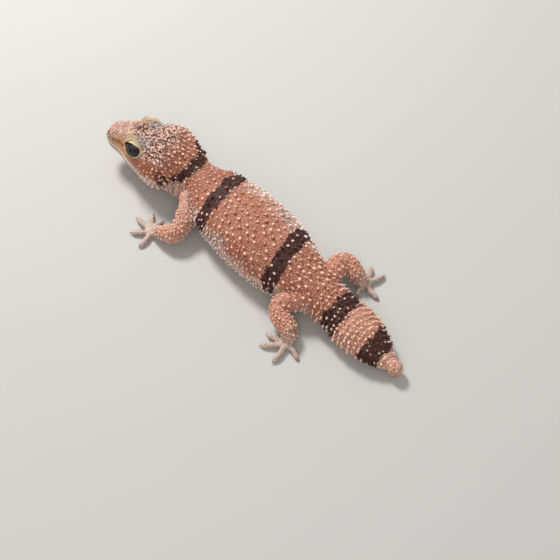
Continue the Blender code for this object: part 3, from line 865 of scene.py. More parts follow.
def nostril_distance(here):
    """How far each point lies from the nearer nostril, seen along the line out of it."""
    s, side, height = NOSTRIL
    away = np.full(len(here.points), 9.0)
    for sign in (1, -1):
        own = np.linalg.norm(here.points - body_point(s, sign * side, height), axis=1)
        away = np.minimum(away, own)
    return away


def ear_slit(here):
    """How far each point lies from the middle of the ear's opening, where 1 is on its edge."""
    lean = here.s - EAR[0] + 0.3 * (here.height - EAR[2])
    slit = np.hypot(lean / 0.75, (here.height - EAR[2]) / 1.6)
    return np.where((np.abs(here.side) > 5.0) & (here.limb < 0.5), slit, 9.0)


def throat_folds(here):
    """Where the throat's loose skin hangs in upright folds, and their wave from trough to ridge."""
    s, height = here.s, here.height
    share = stretch(s, THROAT_FOLDS)
    share *= 1 - smooth(here.level + 1.0, here.level + 4.5, height)
    # They are deepest on the inside of the head's turn.
    share *= np.where(here.side > 0, 1.0, 0.3) * (1 - here.limb)
    share *= 0.7 + 0.5 * grain(here.points, 4.0, 4.0)
    warp = 1.3 * grain(here.points, 4.2, 5.0)
    return share, np.sin(2 * math.pi * (s + 0.3 * (height - 7) + warp) / FOLD_STEP)


def folds(here, height0):
    """How far each point of the skin stands out, by its mouth, lips, nostrils, ears, folds and creases."""
    s = here.s
    body = 1 - here.limb
    line = height0 - here.level
    mouth = (1 - smooth(MOUTH_END - MOUTH_FADE, MOUTH_END, s)) * body
    lips = 0.14 * hump(line, 0.55, 0.4) + 0.1 * hump(line, -0.5, 0.35)
    out = mouth * (lips - 0.45 * hump(line, 0.0, 0.15))
    away = nostril_distance(here)
    out += -0.85 * hump(away, 0.0, 0.45) + 0.16 * hump(away, 0.8, 0.24)
    slit = ear_slit(here)
    out += -1.2 * np.exp(-(slit**4)) + 0.22 * hump(slit, 1.5, 0.35)
    share, wave = throat_folds(here)
    out += 0.85 * share * (0.25 + wave - 0.6 * np.abs(wave))
    crease = np.sin(2 * math.pi * (here.way * 5.2 + 0.5 * grain(here.points, 1.6, 6.0)))
    out += 0.05 * here.limb * crease * (hump(here.way, 1.0, 0.22) + hump(here.way, 1.95, 0.15))
    out += 0.07 * grain(here.points, 2.2, 7.0) + 0.04 * grain(here.points, 0.9, 8.0)
    return out


def skin_form():
    """The whole skin: its points and faces, and a tree of it as it is before the eyes sink in."""
    mesh = plain_skin()
    split_skin(mesh)
    points = mesh_points(mesh)
    s, side, height = body_place(points)
    _, _, level, _ = body_shape(s)
    spread = np.hypot(side, height - level)
    out = np.maximum(reach(s, side, height), 0.05)
    beyond = spread - spread / out
    body = (1 - smooth(0.15, 0.5, np.abs(beyond))) * smooth(1.2, 2.6, s) * (1 - smooth(112.0, 113.5, s))
    pull = 1 + body * (1 / out - 1)
    side, height = side * pull, level + (height - level) * pull
    height0 = height.copy()
    limb = smooth(*LIMB_BEGINS, beyond) * smooth(36.0, 38.0, s)
    side, height = formed(s, side, height, 1 - limb)
    points = body_point(s, side, np.maximum(height, FLOOR_GAP))
    flat_points = domed(np.where(s[:, None] > 0, points, mesh_points(mesh)))
    mesh.vertices.foreach_set("co", flat_points.ravel())
    mesh.update()
    here = Surface(flat_points, mesh_normals(mesh))
    points = flat_points + here.normals * folds(here, height0)[:, None]
    faces = np.empty(len(mesh.polygons) * 3, int)
    mesh.polygons.foreach_get("vertices", faces)
    faces = faces.reshape(-1, 3)
    tree = BVHTree.FromPolygons(points.tolist(), faces.tolist())
    for sign in (1, -1):
        gaze = eye_frame(sign)[1]
        along, away, angle, size = round_eye(points, sign)
        opening, width = lid_shape(angle)
        facing = (along > 0.0) & (size < LID_ZONE)
        sink = (1 - smooth(opening + 0.6 * width, opening + width, away)) * facing
        target = np.sqrt(np.maximum((EYE_RADIUS - 0.35) ** 2 - away**2, 0.0))
        drop = np.maximum(along - target, 0.0) * sink
        points = points - gaze * drop[:, None]
    points[:, 2] = np.maximum(points[:, 2], FLOOR_GAP * 0.5)
    bpy.data.meshes.remove(mesh)
    return points, faces, tree


def add_node(tree, kind, inputs=None, **settings):
    """Adds a node with its settings; each input is given a value or the output of another node."""
    made = tree.nodes.new(kind)
    for key, value in settings.items():
        setattr(made, key, value)
    for key, value in (inputs or {}).items():
        if isinstance(value, bpy.types.NodeSocket):
            tree.links.new(value, made.inputs[key])
        else:
            made.inputs[key].default_value = value
    return made


def new_material(name, settings):
    """A material with only its shader and output, and what is the same all over it set on the shader."""
    made = bpy.data.materials.new(name)
    made.use_nodes = True
    shader = made.node_tree.nodes["Principled BSDF"]
    for key, value in settings.items():
        shader.inputs[key].default_value = value
    return made, made.node_tree, shader


def repeats(millimetres):
    """How often a pattern of this size repeats in a metre."""
    return 1 / (millimetres * METRES)


def gecko_skin_material(name, scales):
    """Dry lizard skin: keratin granules with a soft broken sheen, with painted shade where they meet, round
    the base of the tubercles, in the throat's folds and inside the nostrils and ears. On scales each one has
    a tone of its own; on the skin under them the tone is in small speckles.
    """
    settings = {
        "IOR": 1.5,
        "Specular IOR Level": 0.32,
        "Subsurface Weight": 0.06,
        "Subsurface Radius": (0.0006, 0.00025, 0.00015),
        "Subsurface Scale": 1.0,
    }
    made, tree, shader = new_material(name, settings)
    looks = bpy.context.scene.gecko_colours
    here = add_node(tree, "ShaderNodeTexCoord").outputs["Object"]
    values = {}
    for key in MASKS:
        values[key] = add_node(tree, "ShaderNodeAttribute", attribute_name=key).outputs["Fac"]
    for key, millimetres, detail in (("mottle", 3.0, 3.0), ("spot", 0.8, 2.0), ("speckle", 0.25, 1.0)):
        inputs = {"Vector": here, "Scale": repeats(millimetres), "Detail": detail}
        values[key] = add_node(tree, "ShaderNodeTexNoise", inputs).outputs["Fac"]
    ramps = (
        ("cloudy", "mottle", 0.42, 0.7),
        ("patchy", "mottle", 0.5, 0.62),
        ("spotted", "spot", 0.53, 0.62),
        ("lighter", "chance", 0.4, 1.0) if scales else ("lighter", "speckle", 0.45, 0.7),
        ("darker", "chance", 0.35, 0.0) if scales else ("darker", "speckle", 0.5, 0.35),
        # Painted shade round the base of each tubercle, where the crest mask falls below zero.
        ("foot", "crest", -0.02, -0.3),
        ("tip", "crest", 0.1, 0.82),
    )
    for key, source, low, high in ramps:
        inputs = {"Value": values[source], "From Min": low, "From Max": high}
        ramp = add_node(tree, "ShaderNodeMapRange", inputs, interpolation_type="SMOOTHSTEP")
        values[key] = ramp.outputs["Result"]
    layers = (
        (("cloudy",), 0.5, looks.back_dark),
        (("limb",), 0.65, looks.limb),
        (("arm",), 0.55, looks.muzzle),
        (("lighter",), 0.4, looks.back_light),
        (("darker",), 0.35, looks.back_dark),
        (("neck",), 0.55, looks.back_dark),
        (("pale",), 0.62, looks.belly),
        (("pale", "patchy"), 0.6, looks.flank_grey),
        (("temple",), 0.75, looks.temple),
        (("temple", "lighter"), 0.5, looks.back_light),
        (("crown",), 0.8, looks.crown),
        (("crown", "lighter"), 0.65, looks.belly),
        (("warm",), 0.95, looks.lores),
        (("muzzle",), 0.55, looks.muzzle),
        (("streak",), 0.75, looks.crown_fleck),
        (("fleck",), 0.9, looks.crown_fleck),
        (("grey",), 0.9, looks.grey),
        (("grey", "lighter"), 0.6, looks.belly),
        (("brow",), 0.9, looks.lid),
        (("jaw",), 0.6, looks.muzzle),
        (("throat",), 0.75, looks.muzzle),
        (("throat", "lighter"), 0.7, looks.lip),
        # Painted shade in the troughs between the throat's folds.
        (("groove",), 0.7, looks.gap),
        (("lip",), 0.85, looks.lip),
        (("tail",), 0.9, looks.knob),
        (("tail", "patchy"), 0.5, looks.temple),
        (("tail", "lighter"), 0.6, looks.belly),
        (("middle",), 0.7, looks.knob),
        (("hand",), 0.92, looks.hand),
        (("hand", "spotted"), 0.45, looks.hand_fleck),
        (("band",), 1.0, looks.band),
        (("band", "lighter"), 0.35, looks.band_light),
        # Painted shade inside the nostrils and ears.
        (("hollow",), 1.0, looks.hollow),
        # Painted shade round the base of each tubercle.
        (("foot",), 0.4, looks.gap),
        (("tip",), 0.9, looks.tubercle),
        (("pale", "tip"), 0.8, looks.spine),
    )
    tone = (*looks.back, 1.0)
    for keys, share, colour in layers:
        for key in keys:
            inputs = {0: values[key], 1: share}
            share = add_node(tree, "ShaderNodeMath", inputs, operation="MULTIPLY").outputs["Value"]
        inputs = {MIX_SHARE: share, MIX_UNDER: tone, MIX_OVER: (*colour, 1.0)}
        tone = add_node(tree, "ShaderNodeMix", inputs, data_type="RGBA").outputs[MIXED]
    if not scales:
        # Painted shade: the skin between the granules is darker than they are.
        inputs = {MIX_SHARE: 0.45, MIX_UNDER: tone, MIX_OVER: (*looks.gap, 1.0)}
        darker = add_node(tree, "ShaderNodeMix", inputs, data_type="RGBA", blend_type="MULTIPLY")
        tone = darker.outputs[MIXED]
    tree.links.new(tone, shader.inputs["Base Color"])
    inputs = {"Value": values["spot"], "From Min": 0.3, "From Max": 0.7, "To Min": 0.48, "To Max": 0.7}
    sheen = add_node(tree, "ShaderNodeMapRange", inputs)
    tree.links.new(sheen.outputs["Result"], shader.inputs["Roughness"])
    # Wrinkles about 0.28 mm across between and over the granules.
    inputs = {"Vector": here, "Scale": repeats(0.2778)}
    wrinkle = add_node(tree, "ShaderNodeTexVoronoi", inputs, feature="F1")
    inputs = {"Height": wrinkle.outputs["Distance"], "Strength": 0.35, "Distance": 0.08 * METRES}
    bump = add_node(tree, "ShaderNodeBump", inputs, invert=True)
    tree.links.new(bump.outputs["Normal"], shader.inputs["Normal"])
    return made


def eye_material():
    """A wet eye: a dark olive-brown iris with fine veins and a slit pupil under a clear cornea, and a
    painted reflection round the pupil's upper end.
    """
    settings = {
        "Roughness": 0.25,
        "IOR": 1.38,
        "Specular IOR Level": 0.1,
        "Coat Weight": 0.6,
        "Coat IOR": 1.38,
        "Coat Roughness": 0.03,
    }
    made, tree, shader = new_material("wet_cornea_over_iris", settings)
    looks = bpy.context.scene.gecko_colours
    values = {}
    for key in ("across", "rise", "edge"):
        values[key] = add_node(tree, "ShaderNodeAttribute", attribute_name=key).outputs["Fac"]
    place = add_node(tree, "ShaderNodeCombineXYZ", {"X": values["across"], "Y": values["rise"]})
    # Veins of about 0.3 mm that wind over the iris; the eyeball's radius is 1 here.
    vein_scale = EYE_RADIUS / 0.32
    inputs = {"Vector": place.outputs["Vector"], "Scale": vein_scale, "Detail": 4.0, "Distortion": 0.9}
    values["vein"] = add_node(tree, "ShaderNodeTexNoise", inputs).outputs["Fac"]
    # The pupil's edge is scalloped about every 0.9 mm, and it narrows to both ends.
    steps = (
        ("scallop", "MULTIPLY", "rise", 22.0),
        ("scallop", "SINE", "scallop", 0.0),
        ("scallop", "MULTIPLY", "scallop", 0.012),
        ("ends", "MULTIPLY", "rise", "rise"),
        ("ends", "MULTIPLY", "ends", 0.26),
        ("off", "ABSOLUTE", "across", 0.0),
        ("off", "ADD", "off", "ends"),
        ("off", "SUBTRACT", "off", "scallop"),
    )
    for key, operation, first, second in steps:
        inputs = {0: values[first], 1: values.get(second, second)}
        values[key] = add_node(tree, "ShaderNodeMath", inputs, operation=operation).outputs["Value"]
    tone = (*looks.iris, 1.0)
    layers = (
        ("vein", 0.42, 0.62, looks.iris_vein),
        ("edge", 0.0, 1.0, looks.iris_vein),
        # The pale rim round the pupil is a painted reflection.
        ("off", 0.19, 0.15, looks.pupil_glint),
        ("off", 0.145, 0.125, looks.pupil),
    )
    for key, low, high, colour in layers:
        inputs = {"Value": values[key], "From Min": low, "From Max": high}
        share = add_node(tree, "ShaderNodeMapRange", inputs).outputs["Result"]
        if colour == looks.pupil_glint:
            # A painted reflection: a pale rim shows round the pupil's upper end.
            ends = {"From Min": 0.05, "From Max": 0.45, "To Min": 0.08, "To Max": 0.9}
            upper = add_node(tree, "ShaderNodeMapRange", {"Value": values["rise"], **ends})
            inputs = {0: share, 1: upper.outputs["Result"]}
            share = add_node(tree, "ShaderNodeMath", inputs, operation="MULTIPLY").outputs["Value"]
        inputs = {MIX_SHARE: share, MIX_UNDER: tone, MIX_OVER: (*colour, 1.0)}
        tone = add_node(tree, "ShaderNodeMix", inputs, data_type="RGBA").outputs[MIXED]
    tree.links.new(tone, shader.inputs["Base Color"])
    return made


def lid_material():
    """Thin scaly lids: pale yellow-cream, finely wrinkled, with brown painted shade at their inner and outer
    edge.
    """
    made, tree, shader = new_material("scaly_lid_skin", {"Roughness": 0.55})
    looks = bpy.context.scene.gecko_colours
    here = add_node(tree, "ShaderNodeTexCoord").outputs["Object"]
    # Scales of about 0.35 mm, and stains of about 1 mm.
    cells = add_node(tree, "ShaderNodeTexVoronoi", {"Vector": here, "Scale": repeats(0.3448)}, feature="F1")
    stain = add_node(tree, "ShaderNodeTexNoise", {"Vector": here, "Scale": repeats(1.1111), "Detail": 3.0})
    inputs = {"Value": stain.outputs["Fac"], "From Min": 0.5, "From Max": 0.7}
    masks = [add_node(tree, "ShaderNodeMapRange", inputs).outputs["Result"]]
    for key in ("ring", "rim"):
        masks.append(add_node(tree, "ShaderNodeAttribute", attribute_name=key).outputs["Fac"])
    tone = (*looks.lid, 1.0)
    # The last colour is painted shade at the lids' inner and outer edge.
    for mask, colour in zip(masks, (looks.lid_dark, looks.lid_ring, looks.lid_edge_shade)):
        inputs = {MIX_SHARE: mask, MIX_UNDER: tone, MIX_OVER: (*colour, 1.0)}
        tone = add_node(tree, "ShaderNodeMix", inputs, data_type="RGBA").outputs[MIXED]
    tree.links.new(tone, shader.inputs["Base Color"])
    inputs = {"Height": cells.outputs["Distance"], "Strength": 0.8, "Distance": 0.14 * METRES}
    bump = add_node(tree, "ShaderNodeBump", inputs, invert=True)
    tree.links.new(bump.outputs["Normal"], shader.inputs["Normal"])
    return made


def claw_material():
    """Horn: hard, slightly clear and brown, darker at the tip."""
    made, tree, shader = new_material("horn_claw", {"Roughness": 0.3, "IOR": 1.54})
    looks = bpy.context.scene.gecko_colours
    tip = add_node(tree, "ShaderNodeAttribute", attribute_name="crest").outputs["Fac"]
    here = add_node(tree, "ShaderNodeTexCoord").outputs["Object"]
    # Growth lines of about 0.1 mm.
    lines = add_node(tree, "ShaderNodeTexNoise", {"Vector": here, "Scale": repeats(0.1111), "Detail": 1.0})
    faint = add_node(tree, "ShaderNodeMath", {0: lines.outputs["Fac"], 1: 0.3}, operation="MULTIPLY")
    share = add_node(tree, "ShaderNodeMath", {0: faint.outputs["Value"], 1: tip}, operation="ADD")
    inputs = {
        MIX_SHARE: share.outputs["Value"],
        MIX_UNDER: (*looks.claw, 1.0),
        MIX_OVER: (*looks.claw_tip, 1.0),
    }
    mixed = add_node(tree, "ShaderNodeMix", inputs, data_type="RGBA")
    tree.links.new(mixed.outputs[MIXED], shader.inputs["Base Color"])
    return made


def floor_material():
    """A smooth pale matt sheet."""
    made, tree, shader = new_material("matt_paper_floor", {"Roughness": 0.85})
    looks = bpy.context.scene.gecko_colours
    here = add_node(tree, "ShaderNodeTexCoord").outputs["Object"]
    # Clouds of about 50 mm.
    cloud = add_node(tree, "ShaderNodeTexNoise", {"Vector": here, "Scale": repeats(50.0), "Detail": 2.0})
    faint = add_node(tree, "ShaderNodeMath", {0: cloud.outputs["Fac"], 1: 0.12}, operation="MULTIPLY")
    inputs = {
        MIX_SHARE: faint.outputs["Value"],
        MIX_UNDER: (*looks.floor, 1.0),
        MIX_OVER: (*looks.floor_dark, 1.0),
    }
    mixed = add_node(tree, "ShaderNodeMix", inputs, data_type="RGBA")
    tree.links.new(mixed.outputs[MIXED], shader.inputs["Base Color"])
    return made


def scattered(places, apart):
    """Which places stay when none may lie nearer to an earlier one than the distance given there."""
    tree = KDTree(len(places))
    for i, place in enumerate(places.tolist()):
        tree.insert(place, i)
    tree.balance()
    free = np.ones(len(places), bool)
    kept = []
    apart = apart.tolist()
    for i, place in enumerate(places.tolist()):
        if free[i]:
            kept.append(i)
            for _, j, _ in tree.find_range(place, apart[i]):
                free[j] = False
    return np.array(kept)


def sampled(count, rng):
    """Random places on the skin, evenly by area, with their normals."""
    points, normals, faces = (SKIN[key] for key in ("points", "normals", "faces"))
    a, b, c = (points[faces[:, k]] for k in range(3))
    area = np.linalg.norm(np.cross(b - a, c - a), axis=1)
    chosen = rng.choice(len(faces), count, p=area / area.sum())
    u, v = rng.random((2, count, 1))
    over = u + v > 1
    u, v = np.where(over, 1 - u, u), np.where(over, 1 - v, v)
    weights = (1 - u - v, u, v)
    places = sum(w * points[faces[chosen, k]] for k, w in enumerate(weights))
    away = sum(w * normals[faces[chosen, k]] for k, w in enumerate(weights))
    return places, away / np.linalg.norm(away, axis=1)[:, None]


def raised(here, kind):
    """Points and triangles of one closed scale on each place, and for each point the number of its scale,
    its share of the height and its spot on the coat's map.
    """
    count, profile, sides = len(here.points), kind["profile"], kind["sides"]
    lie = here.lie - here.normals * np.sum(here.lie * here.normals, axis=1)[:, None]
    lie /= np.maximum(np.linalg.norm(lie, axis=1), 1e-6)[:, None]
    across = np.cross(here.normals, lie)
    turn = ((here.chance * TURN_SPREAD % 1.0 - 0.5) * kind["turn"])[:, None]
    lie, across = lie * np.cos(turn) + across * np.sin(turn), across * np.cos(turn) - lie * np.sin(turn)
    angle = np.linspace(0.0, 2 * math.pi, sides, endpoint=False)
    rings = []
    for share, rise in profile:
        out = across[:, None] * (np.cos(angle)[:, None] * (here.wide * share / 2)[:, None, None])
        out = out + lie[:, None] * (np.sin(angle)[:, None] * (here.long * share / 2)[:, None, None])
        ring = here.points[:, None] + out + (here.normals * (here.high * rise)[:, None])[:, None]
        back = here.high * kind["lean"] * max(rise, 0.0) ** 2
        rings.append(ring + (lie * back[:, None])[:, None])
    tip = here.points + here.normals * here.high[:, None] + lie * (here.high * kind["lean"])[:, None]
    points = np.concatenate([*rings, tip[:, None]], axis=1)
    faces = [(0, k + 1, k) for k in range(1, sides - 1)]
    last = (len(profile) - 1) * sides
    for k in range(sides):
        n = (k + 1) % sides
        for r in range(len(profile) - 1):
            a, b = r * sides, (r + 1) * sides
            faces += [(a + k, a + n, b + n), (a + k, b + n, b + k)]
        faces.append((last + k, last + n, len(profile) * sides))
    each = points.shape[1]
    faces = (np.array(faces)[None] + (np.arange(count) * each)[:, None, None]).reshape(-1, 3)
    root = np.repeat(np.arange(count), each)
    rises = [max(rise, 0.0) for _, rise in profile for _ in range(sides)] + [1.0]
    spots = [(share * math.cos(a), share * math.sin(a)) for share, _ in profile for a in angle]
    spots.append((0.0, 0.0))
    return points.reshape(-1, 3), faces, root, np.tile(rises, count), np.tile(spots, (count, 1))


def coat_piece(name, here, kind, material):
    """One object of many scales, each with its own marking and its own patch of the coat's map."""
    points, faces, root, crest, spots = raised(here, kind)
    masks = markings(here, here.chance)
    # In the dark bands fewer tubercles have pale tips; the most that do are in the band before the hips.
    dim = np.where((here.s > 66.0) & (here.s < 80.0), 0.35, 0.7)
    tip = kind["crested"] * (0.45 + 0.55 * smooth(0.0, 0.7, here.chance))
    tip = tip * (1 - 0.8 * masks["band"] * smooth(dim + 0.1, dim - 0.1, here.chance))
    masks = {key: values[root] for key, values in masks.items()}
    # A tubercle's lowest ring gets a crest below zero, which paints shade round its base.
    masks["crest"] = crest * tip[root] - 0.3 * kind["crested"] * (crest == 0)
    made = mesh_object(name, points, faces, masks)
    limb = here.limb > 0.5
    # The body lies over the lower part of the map and the four limbs in strips over it.
    u = np.where(limb, here.way / 3, here.s / TURNS[-1][0]) * 0.94 + 0.03
    v = np.where(limb, 0.62 + 0.09 * here.number + 0.07 * here.girth, 0.02 + 0.56 * here.girth)
    maps = np.stack([u, v], axis=-1)[root] + spots * PATCH
    made.data.uv_layers.new(name="OFBake").data.foreach_set("uv", maps[faces.ravel()].ravel())
    return dressed(made, material)


def on_skin(places):
    """The points of the skin that are nearest to places, and its normals there."""
    found = [SKIN["tree"].find_nearest(Vector(place))[:2] for place in places]
    return (np.array(values) for values in zip(*found))


def eye_region(points):
    """True where a point lies over the lids or the eyes."""
    inside = np.zeros(len(points), bool)
    for sign in (1, -1):
        along, away, angle, size = round_eye(points, sign)
        opening, width = lid_shape(angle)
        inside |= (size < LID_ZONE) & (along > -1.2) & (away < opening + width + 0.1)
    return inside


def openings(here):
    """True in the nostrils, ears and mouth line, where nothing grows."""
    line = here.height - here.level
    mouth = (here.s < MOUTH_END - 1) & (np.abs(line) < 0.22) & (here.limb < 0.5)
    return mouth | (nostril_distance(here) < 0.75) | (ear_slit(here) < 1.15)


def tubercle_sizes(here):
    """How far apart the tubercles stand, and their width, length and height; no width where none stand."""
    s, height = here.s, here.height
    # They are large and wide apart on the back, spiny and closer on the flanks, long on the neck.
    up = (height - here.level) / np.maximum(body_shape(s)[1] - here.level, 0.5)
    back = smooth(0.3, 0.75, up)
    trunk = smooth(36.0, 41.0, s) * back
    pelvis = smooth(74.0, 80.0, s) * back
    neck = stretch(s, NECK_TUBERCLES)
    apart = 1.12 + 0.72 * trunk - 0.22 * pelvis - 0.08 * neck
    flank = (1 - back) * smooth(36.0, 41.0, s)
    nape = stretch(s, NAPE_TUBERCLES)
    wide = 0.84 + 0.4 * trunk - 0.12 * neck - 0.1 * flank + 0.16 * nape
    apart = apart - 0.1 * flank
    long = wide * (1.12 + 0.3 * neck)
    high = wide * (0.66 + 0.3 * flank + 0.2 * nape)
    # The crown, the face, the belly and the throat's folds are bare of them.
    crown = (s < 22.0) & (up > 0.5)
    throat = (s > 26.0) & (s < 36.0) & (height < here.level + 1.8)
    wide = np.where((crown & (s < 18.5)) | (s < 16.5) | (height < here.level - 3.4) | throat, 0.0, wide)
    apart = np.where(crown, 1.6, np.where(s < 28.0, 1.2, apart))
    # The tail has rows of its own, and the thighs' are larger than those of the arms and shins.
    limb = here.limb > 0.45
    wide = np.where((s > 87.0) & ~limb, 0.0, wide)
    thigh = (here.number >= 2) & (here.way < 1.05)
    bare = ((here.number < 2) & (here.way < 0.5)) | (here.way > 2.0) | (here.normals[:, 2] < -0.2)
    limb_wide = np.where(thigh, 1.12, 0.78) * np.where(bare, 0.0, 1.0)
    wide, apart = np.where(limb, limb_wide, wide), np.where(limb, np.where(thigh, 1.5, 1.0), apart)
    long, high = np.where(limb, limb_wide * 1.1, long), np.where(limb, limb_wide * 0.7, high)
    return apart, wide, long, high


def tail_rows(rng):
    """Places of the tail's tubercles, in uneven rows across it."""
    places = []
    for number, s in enumerate(np.arange(*TAIL_ROWS)):
        half, top, level, _ = body_shape(np.array([s]))
        around = math.pi * (half[0] + top[0] - level[0]) / 2
        count = max(5, int(around * 1.12 / TAIL_ROW_STEP))
        for k in range(count):
            angle = math.radians(-100 + 200 * (k + 0.5 * (number % 2) + rng.uniform(-0.24, 0.24)) / count)
            side = half[0] * math.sin(angle)
            height = level[0] + (top[0] - level[0]) * math.cos(angle)
            bend = 0.12 * abs(side) + rng.uniform(-0.3, 0.3)
            places.append(body_point(s + bend, side, max(height, 0.4)))
    return np.array(places)


class GeckoSizes(bpy.types.PropertyGroup):
    """Sizes of the coat and the stage."""

    granule_apart: bpy.props.FloatProperty(
        name="Granule spacing",
        description="Distance between granules, in millimetres",
        default=0.5,
        min=0.2,
    )
    granule_high: bpy.props.FloatProperty(
        name="Granule height",
        description="How far granules stand up, in millimetres",
        default=0.15,
        min=0.0,
    )
    key_power: bpy.props.FloatProperty(
        name="Key light",
        description="Power of the main light",
        default=4.2,
        min=0.0,
        unit="POWER",
    )
    fill_power: bpy.props.FloatProperty(
        name="Fill light",
        description="Power of the light that opens the shadows",
        default=1.5,
        min=0.0,
        unit="POWER",
    )
    lens: bpy.props.FloatProperty(
        name="Lens",
        description="The camera's focal length, in millimetres",
        default=84.68,
        min=10.0,
        unit="CAMERA",
    )


def colour_property(name, description, code):
    """A colour that a user can change, given by its sRGB hex value."""
    return bpy.props.FloatVectorProperty(
        name=name, description=description, subtype="COLOR", size=3, min=0.0, max=1.0, default=linear(code)
    )


class GeckoColours(bpy.types.PropertyGroup):
    """Colours of the gecko and the floor."""

    back: colour_property("Back", "Granules of the back", "#b47359")
    back_dark: colour_property("Dark granules", "Darker granules of the back", "#9a6049")
    back_light: colour_property("Light granules", "Paler granules of the back", "#dcad97")
    # Painted shade for the skin between the granules, round the base of the tubercles and in the troughs of
    # the throat's folds.
    gap: colour_property("Between granules", "Skin between the granules", "#8f5b4a")
    tubercle: colour_property("Tubercles", "Tips of the tubercles", "#ecc6b0")
    spine: colour_property("Flank spines", "Tips of the flanks' tubercles", "#f1e4da")
    belly: colour_property("Belly", "Underside and lower flanks", "#e4cbbb")
    flank_grey: colour_property("Flank mottling", "Grey mottling of the flanks", "#8f7a70")
    temple: colour_property("Temple", "Sides of the head behind the eye", "#b2603b")
    crown: colour_property("Crown", "Top of the head", "#d8b09c")
    crown_fleck: colour_property("Crown flecks", "Dark flecks of the head", "#47201a")
    lores: colour_property("Lores", "Between nostril and eye", "#e2a26f")
    grey: colour_property("Grey patches", "Over the eyes", "#7b8288")
    lip: colour_property("Lips", "Scales along the mouth", "#e6d2c4")
    muzzle: colour_property("Muzzle", "Lilac-pink of the snout's tip, jaw and throat", "#c9a598")
    limb: colour_property("Limbs", "Limbs down to the wrists and ankles", "#d69b80")
    knob: colour_property("Knob", "Tail's end and knob", "#d3a28a")
    hand: colour_property("Digits", "Hands and feet", "#cdb6a8")
    hand_fleck: colour_property("Digit spots", "Dark spots of hands and feet", "#8a786b")
    band: colour_property("Bands", "Dark bands", "#3f1f16")
    band_light: colour_property("Band granules", "Paler granules in the bands", "#7d5142")
    # Painted shade inside the nostrils and ears.
    hollow: colour_property("Hollows", "Inside of the nostrils and ears", "#2a1611")
    iris: colour_property("Iris", "Iris", "#352f25")
    iris_vein: colour_property("Iris veins", "Dark veins of the iris", "#1f1b17")
    # A painted reflection round the pupil's upper end.
    pupil_glint: colour_property("Pupil's rim", "Pale edge of the pupil", "#848c94")
    pupil: colour_property("Pupil", "Slit pupil", "#050505")
    lid: colour_property("Lids", "Lids", "#b59b73")
    lid_dark: colour_property("Lid stains", "Browner parts of the lids", "#967a56")
    lid_ring: colour_property("Lid ring", "Thick pale ring of the lids", "#d0bd95")
    # Painted shade at the lids' inner edge against the eyeball and their outer edge against the skin.
    lid_edge_shade: colour_property("Lid rims", "Inner edge of the lids", "#5c4534")
    claw: colour_property("Claws", "Claw roots", "#a08c78")
    claw_tip: colour_property("Claw tips", "Claw tips", "#6e5a4a")
    floor: colour_property("Floor", "Floor", "#bdbab5")
    floor_dark: colour_property("Floor shade", "Faint clouding of the floor", "#afaba5")


class GECKO_OT_skin(bpy.types.Operator):
    """Makes one skin over the head, neck, trunk, tail and limbs"""

    bl_idname = "gecko.skin"
    bl_label = "Skin"

    def execute(self, context):
        points, faces, tree = skin_form()
        made = mesh_object("skin", points, faces)
        normals = mesh_normals(made.data)
        here = Surface(points, normals)
        chance = 0.5 + 0.5 * grain(points, 0.6, 9.0)
        store_masks(made.data, markings(here, chance))
        dressed(made, gecko_skin_material("granular_lizard_skin", False))
        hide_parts(*[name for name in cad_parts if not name.startswith("eye_")])
        SKIN.update(points=points, faces=faces, normals=normals, before_eyes=tree)
        SKIN["tree"] = BVHTree.FromPolygons(points.tolist(), faces.tolist())
        return {"FINISHED"}


